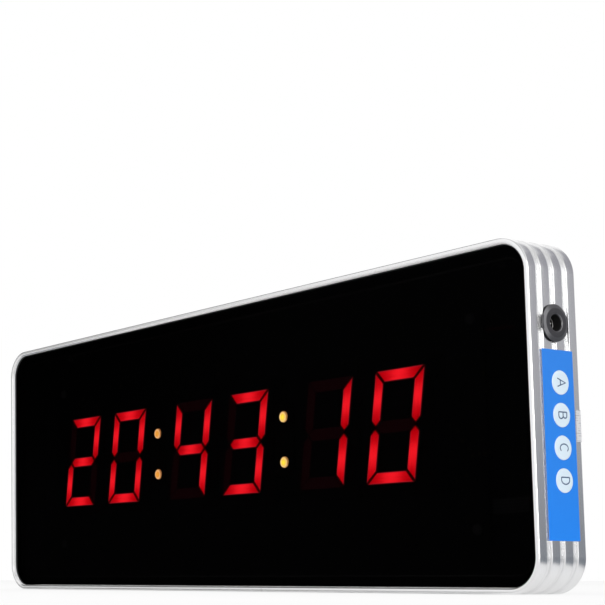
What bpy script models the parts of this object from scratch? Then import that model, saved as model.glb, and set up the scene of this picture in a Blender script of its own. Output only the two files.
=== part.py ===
"""LED wall clock and round timer.

Metres, +Z up. Origin at the centre of the rear face that lies against the
wall; the display looks along -Y and the buttons sit on the +X end.
In the names below front is -Y and rear is +Y. A size ending in _X, _Y or _Z
that holds a pair is a (low, high) span along that axis.
"""

import math
from itertools import count

import bmesh
import bpy
from mathutils import Vector

# ---------------------------------------------------------------- driving dimensions
WIDTH = 0.3600
HEIGHT = 0.1340
DEPTH = 0.0260
HALF_W = WIDTH / 2
HALF_H = HEIGHT / 2
CORNER_R = 0.0140
CORNER_STEPS = 6

# Clearances
EDGE_GAP = 0.0003              # round the edges of the front panel and back cover
MOUNT_GAP = 0.00015            # between parts that are mounted face to face
FILM_GAP = 0.0001              # under the label and the seal
OVERCUT = 0.0010               # how far cutters run past the faces they open

# Frame
Y_LIP = -DEPTH                 # front edge
Y_FRAME_BACK = -0.0004         # rear edge, just in front of the wall face
WALL = 0.0022
REAR_WALL = 0.0020             # wall thickness behind the flange
SHELF_Y = (-0.0206, -0.0191)   # inner shelf the front panel sits on
FLANGE_Y = (-0.0036, -0.0021)  # inner flange the back cover is screwed to
FLANGE_IN = 0.0072             # how far both reach in from the outside
SEAM_X = 0.0300                # butt joint in the bottom wall
SEAM_GAP = 0.0003

# Front panel and back cover
PANEL_Y = (-0.0236, -0.0212)
GASKET_Y = (-0.02105, -0.02075)
GASKET_INSET = (0.0027, 0.0067)
COVER_Y = (-0.0019, Y_FRAME_BACK)
COVER_SCREW_X = (-0.1500, 0.1500)
COVER_SCREW_Z = HALF_H - 0.0049
COVER_SCREW_PLACES = [(x, z) for z in (COVER_SCREW_Z, -COVER_SCREW_Z) for x in COVER_SCREW_X]
COVER_SCREW_HOLE_R = 0.00145

# Main board
PCB_X = (-0.1560, 0.1440)
PCB_Y = (-0.0091, -0.0075)
PCB_Z = (-0.0480, 0.0480)
PCB_FRONT = PCB_Y[0] - MOUNT_GAP
PCB_REAR = PCB_Y[1] + MOUNT_GAP
PCB_SCREW_INSET = 0.0060
PCB_SCREW_PLACES = [(x, z) for x in (PCB_X[0] + PCB_SCREW_INSET, PCB_X[1] - PCB_SCREW_INSET)
                    for z in (PCB_Z[0] + PCB_SCREW_INSET, PCB_Z[1] - PCB_SCREW_INSET)]

# Button board, standing inside the +X end
BOARD_X = (0.1695, 0.1711)
BOARD_Y = (-0.0172, -0.0042)
BOARD_Z = (-0.0380, 0.0220)

# Digits and colons
DIGIT_X = (-0.1188, -0.0793, -0.0274, 0.0124, 0.0652, 0.1053)
DIGIT_Z = 0.0014
SEGMENT_FRONT_Y = -0.0185
COLON_X = (-0.0537, 0.0382)
COLON_Z = (0.0114, -0.0091)

# Label and buttons
LABEL_Y = (-0.02044, -0.00361)
LABEL_Z = (-0.0474, 0.0236)
LABEL_T = 0.00020
BUTTON_Y = -0.01112
BUTTON_TOP_Z = 0.01134
BUTTON_PITCH = 0.01217
LETTERS = "abcd"
BUTTON_Z = [BUTTON_TOP_Z - BUTTON_PITCH * i for i in range(len(LETTERS))]
BUTTON_R = 0.00456
BUTTON_HOLE_R = 0.0049

# Power socket
JACK_Y = -0.0131
JACK_Z = 0.0336
JACK_FRONT_X = HALF_W + 0.0003  # inner face of the flange
JACK_BACK_X = HALF_W - 0.0140   # inner end of the barrel
JACK_BARREL_R = 0.0046

TAU = 2 * math.pi
ORIGIN = (0.0, 0.0, 0.0)
X_AXIS = (1, 0, 0)
Y_AXIS = (0, 1, 0)


# ---------------------------------------------------------------- scene and materials
for old in list(bpy.data.objects):
    bpy.data.objects.remove(old, do_unlink=True)

EMISSION_STRENGTH = 2.0


def material(name, colour, roughness, metallic=0.0, alpha=1.0, emission=None):
    made = bpy.data.materials.new(name)
    made.use_nodes = True
    inputs = made.node_tree.nodes["Principled BSDF"].inputs
    inputs["Base Color"].default_value = (*colour, 1.0)
    inputs["Roughness"].default_value = roughness
    inputs["Metallic"].default_value = metallic
    inputs["Alpha"].default_value = alpha
    if emission:
        inputs["Emission Color"].default_value = (*emission, 1.0)
        inputs["Emission Strength"].default_value = EMISSION_STRENGTH
    made.diffuse_color = (*colour, alpha)
    return made


def metal(name, colour, roughness):
    return material(name, colour, roughness, metallic=1.0)


# Metals
SATIN_ALUMINIUM = metal("satin_aluminium", colour=(0.62, 0.62, 0.65), roughness=0.30)
ZINC_STEEL = metal("zinc_steel", colour=(0.60, 0.61, 0.62), roughness=0.30)
NICKEL = metal("nickel", colour=(0.66, 0.65, 0.62), roughness=0.25)
CAN_ALUMINIUM = metal("can_aluminium", colour=(0.72, 0.72, 0.74), roughness=0.30)

# Black and grey plastics
BLACK_FOAM = material("black_foam", colour=(0.02, 0.02, 0.02), roughness=0.95)
BLACK_ABS = material("black_abs", colour=(0.025, 0.025, 0.027), roughness=0.55)
SOLDER_MASK = material("black_solder_mask", colour=(0.010, 0.014, 0.012), roughness=0.40)
DIGIT_BLACK = material("digit_black", colour=(0.012, 0.012, 0.012), roughness=0.60)
CHIP_BLACK = material("chip_black", colour=(0.018, 0.018, 0.020), roughness=0.45)
SWITCH_BLACK = material("switch_black", colour=(0.020, 0.020, 0.021), roughness=0.50)
JACK_GREY = material("jack_grey", colour=(0.085, 0.085, 0.092), roughness=0.50)

# See-through and glowing parts
SMOKED_ACRYLIC = material("smoked_acrylic", colour=(0.004, 0.004, 0.005), roughness=0.05,
                          alpha=0.6)
RED_DIFFUSER = material("red_diffuser", colour=(0.60, 0.01, 0.01), roughness=0.40,
                        emission=(1.0, 0.02, 0.02))
AMBER_LENS = material("amber_lens", colour=(0.95, 0.55, 0.06), roughness=0.20,
                      emission=(1.0, 0.55, 0.05))

# Leads, label, caps and seal
WIRE_RED = material("wire_red", colour=(0.55, 0.02, 0.02), roughness=0.45)
WIRE_BLACK = material("wire_black", colour=(0.015, 0.015, 0.016), roughness=0.45)
RIBBON_GREY = material("ribbon_grey", colour=(0.42, 0.43, 0.45), roughness=0.55)
BLUE_FILM = material("blue_film", colour=(0.035, 0.245, 0.86), roughness=0.40)
BUTTON_WHITE = material("button_white", colour=(0.80, 0.87, 0.94), roughness=0.40)
SEAL_PAPER = material("seal_paper", colour=(0.86, 0.86, 0.88), roughness=0.60)


# ---------------------------------------------------------------- outlines
def centred(size):
    """Span of a size centred on zero."""
    return -size / 2, size / 2


def rectangle(across, up):
    return [(across[0], up[0]), (across[1], up[0]), (across[1], up[1]), (across[0], up[1])]


def arc(centre, radius, start, sweep, steps):
    """steps + 1 points of an arc; angles in radians."""
    angles = [start + sweep * i / steps for i in range(steps + 1)]
    return [(centre[0] + radius * math.cos(angle), centre[1] + radius * math.sin(angle))
            for angle in angles]


def circle(centre, radius, steps, phase=0.0):
    return arc(centre, radius, phase, TAU, steps)[:-1]


CORNER_X = HALF_W - CORNER_R
CORNER_Z = HALF_H - CORNER_R
# Corner centre x and z, and the angle in degrees where its arc starts
CORNERS = ((CORNER_X, CORNER_Z, 0.0), (-CORNER_X, CORNER_Z, 90.0),
           (-CORNER_X, -CORNER_Z, 180.0), (CORNER_X, -CORNER_Z, 270.0))


def rounded_outline(inset):
    """The frame's outline moved in by inset, as (x, z)."""
    points = []
    for x, z, start in CORNERS:
        points += arc((x, z), CORNER_R - inset, math.radians(start), math.pi / 2, CORNER_STEPS)
    return points


def at_y(outline, y):
    """Lift an (x, z) outline to points at y."""
    return [(x, y, z) for x, z in outline]


# ---------------------------------------------------------------- shapes, added to a bmesh
def loft(shape, rings, closed_path=False):
    """Skin equal-length point rings; the ends are capped unless the path closes."""
    rows = [[shape.verts.new(point) for point in ring] for ring in rings]
    size = len(rows[0])
    following = rows[1:] + rows[:1] if closed_path else rows[1:]
    for row, after in zip(rows, following):
        for i in range(size):
            j = (i + 1) % size
            shape.faces.new((row[i], row[j], after[j], after[i]))
    if not closed_path:
        shape.faces.new(rows[0])
        shape.faces.new(list(reversed(rows[-1])))


def turned(shape, profile, centre, axis, steps):
    """Solid of revolution: profile is (distance along axis, radius); radius 0 closes it."""
    axis = Vector(axis).normalized()
    side = axis.orthogonal().normalized()
    other = axis.cross(side)
    rows = []
    for along, radius in profile:
        base = Vector(centre) + axis * along
        if radius <= 1e-9:
            rows.append([shape.verts.new(base)])
        else:
            rows.append([shape.verts.new(base + side * (radius * math.cos(TAU * i / steps))
                                         + other * (radius * math.sin(TAU * i / steps)))
                         for i in range(steps)])
    for row, after in zip(rows, rows[1:]):
        for i in range(steps):
            j = (i + 1) % steps
            if len(row) == 1:
                shape.faces.new((row[0], after[i], after[j]))
            elif len(after) == 1:
                shape.faces.new((row[i], after[0], row[j]))
            else:
                shape.faces.new((row[i], after[i], after[j], row[j]))


def extrude_y(shape, outline, low, high):
    """Extrude an (x, z) outline along Y."""
    loft(shape, [at_y(outline, y) for y in (low, high)])


def extrude_x(shape, outline, low, high):
    """Extrude a (y, z) outline along X."""
    loft(shape, [[(x, y, z) for y, z in outline] for x in (low, high)])


def box(shape, x_span, y_span, z_span):
    extrude_y(shape, rectangle(x_span, z_span), *y_span)


def chamfered_box(shape, x_span, y_span, z_span, chamfer, front=True):
    """Box with the edges of its front face, or else of its rear face, bevelled."""
    plain, bevelled = reversed(y_span) if front else y_span
    step = chamfer if front else -chamfer

    def ring(inset, y):
        return at_y(rectangle((x_span[0] + inset, x_span[1] - inset),
                              (z_span[0] + inset, z_span[1] - inset)), y)

    loft(shape, [ring(0, plain), ring(0, bevelled + step), ring(chamfer, bevelled)])


def bezier(start, control_1, control_2, end, steps):
    start, control_1, control_2, end = map(Vector, (start, control_1, control_2, end))
    points = []
    for i in range(steps + 1):
        t = i / steps
        points.append(start * (1 - t) ** 3 + control_1 * 3 * t * (1 - t) ** 2
                      + control_2 * 3 * t * t * (1 - t) + end * t ** 3)
    return points


def path_tangents(path):
    last = len(path) - 1
    return [(path[min(i + 1, last)] - path[max(i - 1, 0)]).normalized()
            for i in range(len(path))]


def tube(shape, path, radius, steps):
    """Round wire along a path, with flat ends."""
    tangents = path_tangents(path)
    side = tangents[0].orthogonal().normalized()
    rings = []
    for point, tangent in zip(path, tangents):
        # carry the side direction along so that the wire does not twist
        side = (side - tangent * side.dot(tangent)).normalized()
        other = tangent.cross(side)
        rings.append([point + side * (radius * math.cos(TAU * i / steps))
                      + other * (radius * math.sin(TAU * i / steps)) for i in range(steps)])
    loft(shape, rings)


# ---------------------------------------------------------------- objects
def place_mesh(name, mesh, location):
    made = bpy.data.objects.new(name, mesh)
    made.location = location
    bpy.context.scene.collection.objects.link(made)
    return made


def add_object(name, shape, surface, location=ORIGIN, smooth_degrees=35.0):
    """Object of a closed bmesh, with its faces turned outwards."""
    bmesh.ops.recalc_face_normals(shape, faces=shape.faces)
    mesh = bpy.data.meshes.new(name)
    shape.to_mesh(mesh)
    shape.free()
    if smooth_degrees:
        mesh.shade_smooth()
        mesh.set_sharp_from_angle(angle=math.radians(smooth_degrees))
    if surface:
        mesh.materials.append(surface)
    return place_mesh(name, mesh, location)


def add_turned(name, surface, profile, axis, steps, centre=ORIGIN, location=ORIGIN):
    """Object of one solid of revolution; its origin is at location, not at centre."""
    shape = bmesh.new()
    turned(shape, profile, centre, axis, steps)
    return add_object(name, shape, surface, location)


def add_repeats(prefix, places, make, labels=None):
    """Build the first piece with make(name, place); the others share its mesh."""
    first = None
    for label, place in zip(labels or count(1), places):
        name = f"{prefix}_{label}"
        if first is None:
            first = make(name, place)
        else:
            place_mesh(name, first.data, place)


def boolean(target, shape, operation="DIFFERENCE"):
    """Boolean with a hidden cutter made from shape."""
    cutter = add_object(target.name + "_" + operation.lower(), shape, None, target.location,
                        smooth_degrees=0)
    cutter.hide_render = True
    cutter.display_type = "WIRE"
    modifier = target.modifiers.new(operation.title(), "BOOLEAN")
    modifier.operation = operation
    modifier.solver = "EXACT"
    modifier.object = cutter


def applied(target):
    """Put an object's booleans into its mesh and drop their cutters."""
    bpy.context.view_layer.update()
    cutters = [modifier.object for modifier in target.modifiers]
    graph = bpy.context.evaluated_depsgraph_get()
    mesh = bpy.data.meshes.new_from_object(target.evaluated_get(graph), depsgraph=graph)
    target.modifiers.clear()
    target.data = mesh
    for cutter in cutters:
        bpy.data.objects.remove(cutter, do_unlink=True)
    return target


# ---------------------------------------------------------------- extruded frame
# Front and rear y of the three grooves round the outside
GROOVES = ((-0.02172, -0.01861), (-0.01457, -0.01144), (-0.00743, -0.00419))
GROOVE_DEPTH = 0.0008
GROOVE_SLOPE = 0.0003          # width of a groove's sloping side
LIP_ROUND = 0.0006             # outer front edge, rounded in two facets
LIP_ROUND_MID = 0.00018
LIP_INNER_CHAMFER = 0.0003
REAR_CHAMFER = 0.0002
END_CUT_X = (HALF_W - 0.0040, HALF_W + 0.0020)
JACK_HOLE_GAP = 0.0003


def frame_profile():
    """Section as (y, inset from the outside), from the front round the outside to the rear."""
    points = [(Y_LIP, LIP_ROUND), (Y_LIP + LIP_ROUND_MID, LIP_ROUND_MID), (Y_LIP + LIP_ROUND, 0.0)]
    for front, rear in GROOVES:
        points += [(front, 0.0), (front + GROOVE_SLOPE, GROOVE_DEPTH),
                   (rear - GROOVE_SLOPE, GROOVE_DEPTH), (rear, 0.0)]
    points += [
        (Y_FRAME_BACK - REAR_CHAMFER, 0.0), (Y_FRAME_BACK, REAR_CHAMFER),
        (Y_FRAME_BACK, REAR_WALL), (FLANGE_Y[1], REAR_WALL),
        (FLANGE_Y[1], FLANGE_IN), (FLANGE_Y[0], FLANGE_IN), (FLANGE_Y[0], WALL),
        (SHELF_Y[1], WALL), (SHELF_Y[1], FLANGE_IN), (SHELF_Y[0], FLANGE_IN), (SHELF_Y[0], WALL),
        (Y_LIP + LIP_INNER_CHAMFER, WALL), (Y_LIP, WALL - LIP_INNER_CHAMFER),
    ]
    return points


def make_frame():
    """The profile swept from the seam, up the +X end and round to the seam again."""
    # Stations: x and z of the arc centre, outward direction in degrees
    stations = [(SEAM_X + SEAM_GAP / 2, -CORNER_Z, 270.0)]
    for x, z, start in CORNERS[-1:] + CORNERS[:-1]:
        stations += [(x, z, start + 90.0 * i / CORNER_STEPS) for i in range(CORNER_STEPS + 1)]
    stations.append((SEAM_X - SEAM_GAP / 2, -CORNER_Z, 270.0))
    profile = frame_profile()
    rings = []
    for x, z, degrees in stations:
        angle = math.radians(degrees)
        rings.append([(x + (CORNER_R - inset) * math.cos(angle), y,
                       z + (CORNER_R - inset) * math.sin(angle)) for y, inset in profile])
    shape = bmesh.new()
    loft(shape, rings)
    frame = add_object("frame", shape, SATIN_ALUMINIUM, smooth_degrees=30.0)

    # holes for the buttons, the socket and the cover screws
    cut = bmesh.new()
    for z in BUTTON_Z:
        extrude_x(cut, circle((BUTTON_Y, z), BUTTON_HOLE_R, 24), *END_CUT_X)
    extrude_x(cut, circle((JACK_Y, JACK_Z), JACK_BARREL_R + JACK_HOLE_GAP, 24), *END_CUT_X)
    for place in COVER_SCREW_PLACES:
        extrude_y(cut, circle(place, COVER_SCREW_HOLE_R, 12),
                  FLANGE_Y[0] - OVERCUT, FLANGE_Y[1] + OVERCUT)
    boolean(frame, cut)


def make_joint_plate():
    """Plate that bridges the butt joint, bonded inside the bottom wall."""
    half_length = 0.0160
    thickness = 0.0013
    bottom = -HALF_H + WALL + MOUNT_GAP
    shape = bmesh.new()
    chamfered_box(shape, (SEAM_X - half_length, SEAM_X + half_length), (-0.0186, -0.0041),
                  (bottom, bottom + thickness), 0.0003)
    add_object("frame_joint_plate", shape, SATIN_ALUMINIUM)


make_frame()
make_joint_plate()


# ---------------------------------------------------------------- front panel and its gasket
def make_front_panel():
    inset = WALL + EDGE_GAP
    chamfer = 0.0002
    shape = bmesh.new()
    loft(shape, [at_y(rounded_outline(inset + chamfer), PANEL_Y[0]),
                 at_y(rounded_outline(inset), PANEL_Y[0] + chamfer),
                 at_y(rounded_outline(inset), PANEL_Y[1])])
    add_object("front_panel", shape, SMOKED_ACRYLIC)


def make_gasket():
    """Flat loop: a rectangular section carried round the outline."""
    edges = [at_y(rounded_outline(inset), y) for y, inset in rectangle(GASKET_Y, GASKET_INSET)]
    shape = bmesh.new()
    loft(shape, zip(*edges), closed_path=True)
    add_object("panel_gasket", shape, BLACK_FOAM)


make_front_panel()
make_gasket()


# ---------------------------------------------------------------- back cover
COVER_CHAMFER = 0.0002
COVER_FIELD = 0.0090           # border of the raised field
FIELD_SLOPE = 0.0004
ROOT_DEPTH = 0.0008            # how far bosses and rails sink into the cover
KEYHOLES = ((-0.1000, 0.0300), (0.1000, 0.0300))
VENT_X = [-0.0240 + 0.0060 * i for i in range(9)]
VENT_Z = (-0.0420, -0.0240)
VENT_R = 0.0011
BOSS_R = 0.0032
BOSS_BORE_R = 0.00125
RAIL_X = (0.1676, 0.1724)
RAIL_FRONT_Y = -0.0165


def keyhole(x, z):
    """Round entry with a narrow slot above it."""
    entry_r = 0.0040
    slot_r = 0.0023
    rise = 0.0085
    edge = math.asin(slot_r / entry_r)
    return (arc((x, z), entry_r, math.pi / 2 + edge, TAU - 2 * edge, 12)
            + arc((x, z + rise), slot_r, 0.0, math.pi, 6))


def vent_slot(x):
    """Upright slot with round ends."""
    bottom, top = VENT_Z
    return (arc((x, top - VENT_R), VENT_R, 0.0, math.pi, 4)
            + arc((x, bottom + VENT_R), VENT_R, math.pi, math.pi, 4))


def board_end_spans(inside, outside):
    """Z spans across the top and bottom edges of the button board."""
    bottom, top = BOARD_Z
    return (top - inside, top + outside), (bottom - outside, bottom + inside)


def make_back_cover():
    inset = REAR_WALL + EDGE_GAP
    shape = bmesh.new()
    loft(shape, [
        at_y(rounded_outline(inset), COVER_Y[0]),
        at_y(rounded_outline(inset), COVER_Y[1] - COVER_CHAMFER),
        at_y(rounded_outline(inset + COVER_CHAMFER), COVER_Y[1]),
        at_y(rounded_outline(COVER_FIELD), COVER_Y[1]),
        at_y(rounded_outline(COVER_FIELD + FIELD_SLOPE), 0.0),
    ])
    cover = add_object("back_cover", shape, BLACK_ABS)

    # bosses for the main board, rails for the button board
    add = bmesh.new()
    root_y = COVER_Y[0] + ROOT_DEPTH
    for place in PCB_SCREW_PLACES:
        extrude_y(add, circle(place, BOSS_R, 12), PCB_REAR, root_y)
    for z_span in board_end_spans(inside=0.0018, outside=0.0027):
        box(add, RAIL_X, (RAIL_FRONT_Y, root_y), z_span)
    boolean(cover, add, "UNION")

    cut = bmesh.new()
    for x, z in KEYHOLES:
        extrude_y(cut, keyhole(x, z), COVER_Y[0] - OVERCUT, OVERCUT)
    for x in VENT_X:
        extrude_y(cut, vent_slot(x), COVER_Y[0] - OVERCUT, OVERCUT)
    for place in PCB_SCREW_PLACES:
        extrude_y(cut, circle(place, BOSS_BORE_R, 10), PCB_Y[1] - OVERCUT, COVER_Y[0] + 0.0003)
    # grooves in the rails that take the board's edges
    for z_span in board_end_spans(inside=0.0030, outside=0.0003):
        box(cut, (BOARD_X[0] - 0.0002, BOARD_X[1] + 0.0002), (-0.0180, BOARD_Y[1] + 0.0003), z_span)
    # countersunk hole: (y, radius)
    front, rear = COVER_Y[0] - OVERCUT, COVER_Y[1] + OVERCUT
    sink_r = 0.0024
    hole = ((front, 0.0), (front, COVER_SCREW_HOLE_R), (COVER_Y[1] - 0.0012, COVER_SCREW_HOLE_R),
            (COVER_Y[1] - 0.0002, sink_r), (rear, sink_r), (rear, 0.0))
    for x, z in COVER_SCREW_PLACES:
        turned(cut, hole, (x, 0.0, z), Y_AXIS, 12)
    boolean(cover, cut)


def make_cover_screw(name, location):
    """Flat-head screw along Y, origin at the middle of its head face, with a cross recess."""
    head_r = 0.00215
    head_depth = 0.0011
    shank_r = 0.0012
    length = 0.0062
    profile = ((-length, 0.0), (-length, shank_r * 0.5), (-length + shank_r * 1.4, shank_r),
               (-head_depth, shank_r), (-0.0002, head_r), (0.0, head_r), (0.0, 0.0))
    screw = add_turned(name, ZINC_STEEL, profile, Y_AXIS, 12, location=location)
    arm = head_r * 0.62
    half = head_r * 0.13
    cross = ((half, half), (half, arm), (-half, arm), (-half, half),
             (-arm, half), (-arm, -half), (-half, -half), (-half, -arm),
             (half, -arm), (half, -half), (arm, -half), (arm, half))
    cut = bmesh.new()
    extrude_y(cut, cross, -head_depth * 0.55, OVERCUT)
    boolean(screw, cut)
    return applied(screw)


make_back_cover()
add_repeats("back_cover_screw", [(x, COVER_Y[1], z) for x, z in COVER_SCREW_PLACES],
            make_cover_screw)


# ---------------------------------------------------------------- main board
def make_main_pcb():
    shape = bmesh.new()
    box(shape, PCB_X, PCB_Y, PCB_Z)
    board = add_object("main_pcb", shape, SOLDER_MASK)
    cut = bmesh.new()
    for place in PCB_SCREW_PLACES:
        extrude_y(cut, circle(place, 0.0014, 12), PCB_Y[0] - OVERCUT, PCB_Y[1] + OVERCUT)
    boolean(board, cut)


def make_pcb_screw(name, location):
    """Round-head screw pointing to +Y, origin under its head."""
    # (y, radius)
    profile = ((0.0055, 0.0), (0.0055, 0.0005), (0.0043, 0.0010), (0.0, 0.0010),
               (0.0, 0.0024), (-0.0009, 0.0022), (-0.0015, 0.0012), (-0.0015, 0.0))
    return add_turned(name, ZINC_STEEL, profile, Y_AXIS, 10, location=location)


make_main_pcb()
add_repeats("pcb_screw", [(x, PCB_FRONT, z) for x, z in PCB_SCREW_PLACES], make_pcb_screw)


# ---------------------------------------------------------------- seven-segment digits
DIGIT_HALF_W = 0.0134
DIGIT_HALF_H = 0.0236
SEGMENT_T = 0.0049
SEGMENT_GAP = 0.0008
SLANT = 0.152                  # x shift per unit of height
HOUSING_W = 0.0386
HOUSING_H = 0.0570
HOUSING_Y = (-0.0183, PCB_FRONT)
HOUSING_WALL = 0.0012
WINDOW_CLEARANCE = 0.0002
DIFFUSER_GAP = 0.0003          # between the diffuser sheet and the housing
DIFFUSER_T = 0.0008


def offset_outline(points, distance):
    """Convex outline moved outwards by a distance."""
    size = len(points)
    area = sum(points[i][0] * points[(i + 1) % size][1] - points[(i + 1) % size][0] * points[i][1]
               for i in range(size))
    sign = 1.0 if area > 0 else -1.0
    moved = []
    for i in range(size):
        before, corner, after = (Vector(points[j]) for j in (i - 1, i, (i + 1) % size))
        arriving = (corner - before).normalized()
        leaving = (after - corner).normalized()
        normals = (Vector((arriving.y, -arriving.x)) * sign
                   + Vector((leaving.y, -leaving.x)) * sign)
        shifted = corner + normals * (distance * 2.0 / normals.length_squared)
        moved.append((shifted.x, shifted.y))
    return moved


def mirrored(points, x_sign, z_sign):
    flipped = [(x_sign * x, z_sign * z) for x, z in points]
    return flipped[::-1] if x_sign * z_sign < 0 else flipped


def segment_outlines(grow=0.0):
    """The seven segments, centred on the digit's middle, leaning to +X with height."""
    side, high = DIGIT_HALF_W, DIGIT_HALF_H
    half_t = SEGMENT_T / 2
    gap = SEGMENT_GAP / math.sqrt(2)
    inner = side - SEGMENT_T       # inner edge of the upright segments
    under = high - SEGMENT_T       # lower edge of the top segment
    top = [(-side + gap, high), (side - gap, high), (inner - gap, under), (-inner + gap, under)]
    right = [(side, high - gap), (side, gap + half_t), (side - half_t, gap),
             (inner, gap + half_t), (inner, under - gap)]
    middle = [(-side + half_t + gap, 0.0), (-inner + gap, half_t), (inner - gap, half_t),
              (side - half_t - gap, 0.0), (inner - gap, -half_t), (-inner + gap, -half_t)]
    segments = [top, right, mirrored(right, 1, -1), mirrored(top, 1, -1),
                mirrored(right, -1, -1), mirrored(right, -1, 1), middle]
    if grow:
        segments = [offset_outline(points, grow) for points in segments]
    return [[(x + SLANT * z, z) for x, z in points] for points in segments]


def make_digit_housing(name, location):
    """Box open to the rear, with a window for each segment in its front."""
    shape = bmesh.new()
    box(shape, centred(HOUSING_W), HOUSING_Y, centred(HOUSING_H))
    housing = add_object(name, shape, DIGIT_BLACK, location)
    cavity = bmesh.new()
    box(cavity, centred(HOUSING_W - 2 * HOUSING_WALL),
        (HOUSING_Y[0] + HOUSING_WALL, HOUSING_Y[1] + OVERCUT),
        centred(HOUSING_H - 2 * HOUSING_WALL))
    boolean(housing, cavity)
    windows = bmesh.new()
    for points in segment_outlines(WINDOW_CLEARANCE):
        extrude_y(windows, points, HOUSING_Y[0] - OVERCUT, HOUSING_Y[0] + 0.0018)
    boolean(housing, windows)
    return applied(housing)


def make_digit_diffuser(name, location):
    """Sheet behind the housing's front, with the segments standing on it."""
    inset = HOUSING_WALL + DIFFUSER_GAP
    front = HOUSING_Y[0] + inset
    shape = bmesh.new()
    box(shape, centred(HOUSING_W - 2 * inset), (front, front + DIFFUSER_T),
        centred(HOUSING_H - 2 * inset))
    diffuser = add_object(name, shape, RED_DIFFUSER, location)
    add = bmesh.new()
    for points in segment_outlines():
        extrude_y(add, points, SEGMENT_FRONT_Y, front + DIFFUSER_T / 2)
    boolean(diffuser, add, "UNION")
    return applied(diffuser)


DIGIT_PLACES = [(x, 0.0, DIGIT_Z) for x in DIGIT_X]
add_repeats("digit_housing", DIGIT_PLACES, make_digit_housing)
add_repeats("digit_diffuser", DIGIT_PLACES, make_digit_diffuser)


# ---------------------------------------------------------------- colons
# 5 mm flat-topped LEDs between the pairs of digits, each pair in a black spacer block
COLON_R = 0.0025
COLON_BORE_R = COLON_R + 0.00012
SPACER_W = 0.0120
SPACER_Y = (-0.0181, PCB_FRONT)
SPACER_END = 0.0060            # from an LED's centre to the end of the block


def make_colon_led(name, location):
    """LED pointing to -Y, origin at the middle of its base."""
    tall = PCB_FRONT - SEGMENT_FRONT_Y
    flange_r = 0.0029
    flange_t = 0.0010
    profile = ((0.0, 0.0), (0.0, flange_r), (-flange_t, flange_r), (-flange_t, COLON_R),
               (-(tall - 0.00035), COLON_R), (-(tall - 0.00006), COLON_R - 0.0006), (-tall, 0.0))
    return add_turned(name, AMBER_LENS, profile, Y_AXIS, 16, location=location)


def make_colon_spacer(name, x):
    shape = bmesh.new()
    chamfered_box(shape, centred(SPACER_W), SPACER_Y,
                  (min(COLON_Z) - SPACER_END, max(COLON_Z) + SPACER_END), 0.0004)
    spacer = add_object(name, shape, DIGIT_BLACK, (x, 0.0, 0.0))
    # stepped bore: (y from the rear face, radius)
    bore = ((0.001, 0.0), (0.001, 0.0031), (-0.0013, 0.0031), (-0.0013, COLON_BORE_R),
            (-0.0100, COLON_BORE_R), (-0.0100, 0.0))
    cut = bmesh.new()
    for z in COLON_Z:
        turned(cut, bore, (0, SPACER_Y[1], z), Y_AXIS, 16)
    boolean(spacer, cut)
    applied(spacer)


add_repeats("colon_led", [(x, PCB_FRONT, z) for x in COLON_X for z in COLON_Z], make_colon_led)
make_colon_spacer("colon_spacer_left", COLON_X[0])
make_colon_spacer("colon_spacer_right", COLON_X[1])


# ---------------------------------------------------------------- parts on the rear of the board
CHIP_Z = (-0.0040, 0.0036)
CHIP_T = 0.0024
CELL_X = -0.0200
CELL_Z = -0.0080


def make_chip(name, x_span):
    shape = bmesh.new()
    chamfered_box(shape, x_span, (PCB_REAR, PCB_REAR + CHIP_T), CHIP_Z, 0.0004, front=False)
    add_object(name, shape, CHIP_BLACK)


make_chip("microcontroller", (-0.0690, -0.0510))
make_chip("led_driver", (0.0180, 0.0336))

# The profiles below are (distance along the axis, radius).
# Can lying along X
add_turned("clock_crystal", CAN_ALUMINIUM,
           ((-0.0031, 0.0), (-0.0031, 0.0012), (-0.0028, 0.0015),
            (0.0028, 0.0015), (0.0031, 0.0012), (0.0031, 0.0)),
           X_AXIS, 12, centre=(-0.0420, PCB_REAR + 0.0017, 0.0))

# Round tray and the cell lying in it
add_turned("coin_cell_holder", BLACK_ABS,
           ((0.0, 0.0), (0.0, 0.0122), (0.0040, 0.0122),
            (0.0040, 0.0104), (0.0010, 0.0104), (0.0010, 0.0)),
           Y_AXIS, 20, centre=(CELL_X, PCB_REAR, CELL_Z))
add_turned("coin_cell", NICKEL,
           ((0.0, 0.0), (0.0, 0.0088), (0.0006, 0.0093),
            (0.0006, 0.0100), (0.0032, 0.0100), (0.0032, 0.0)),
           Y_AXIS, 20, centre=(CELL_X, PCB_REAR + 0.0012, CELL_Z))

# Drum with a small round recess in its rear face
add_turned("buzzer", CHIP_BLACK,
           ((0.0, 0.0), (0.0, 0.0060), (0.0050, 0.0060),
            (0.0050, 0.0010), (0.0030, 0.0010), (0.0030, 0.0)),
           Y_AXIS, 16, centre=(0.0600, PCB_REAR, -0.0080))

# Can with a wider foot and a neck above it
add_turned("filter_capacitor", CAN_ALUMINIUM,
           ((0.0, 0.0), (0.0, 0.0033), (0.0009, 0.0033), (0.0009, 0.0029),
            (0.0013, 0.0031), (0.0048, 0.0031), (0.0052, 0.0027), (0.0052, 0.0)),
           Y_AXIS, 14, centre=(0.1200, PCB_REAR, 0.0300))


# ---------------------------------------------------------------- power socket in the end wall
JACK_FLANGE_R = 0.0071
JACK_FLANGE_T = 0.0011
JACK_BORE_R = 0.0031
JACK_PIN_R = 0.00100
JACK_CENTRE = (0.0, JACK_Y, JACK_Z)


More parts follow.
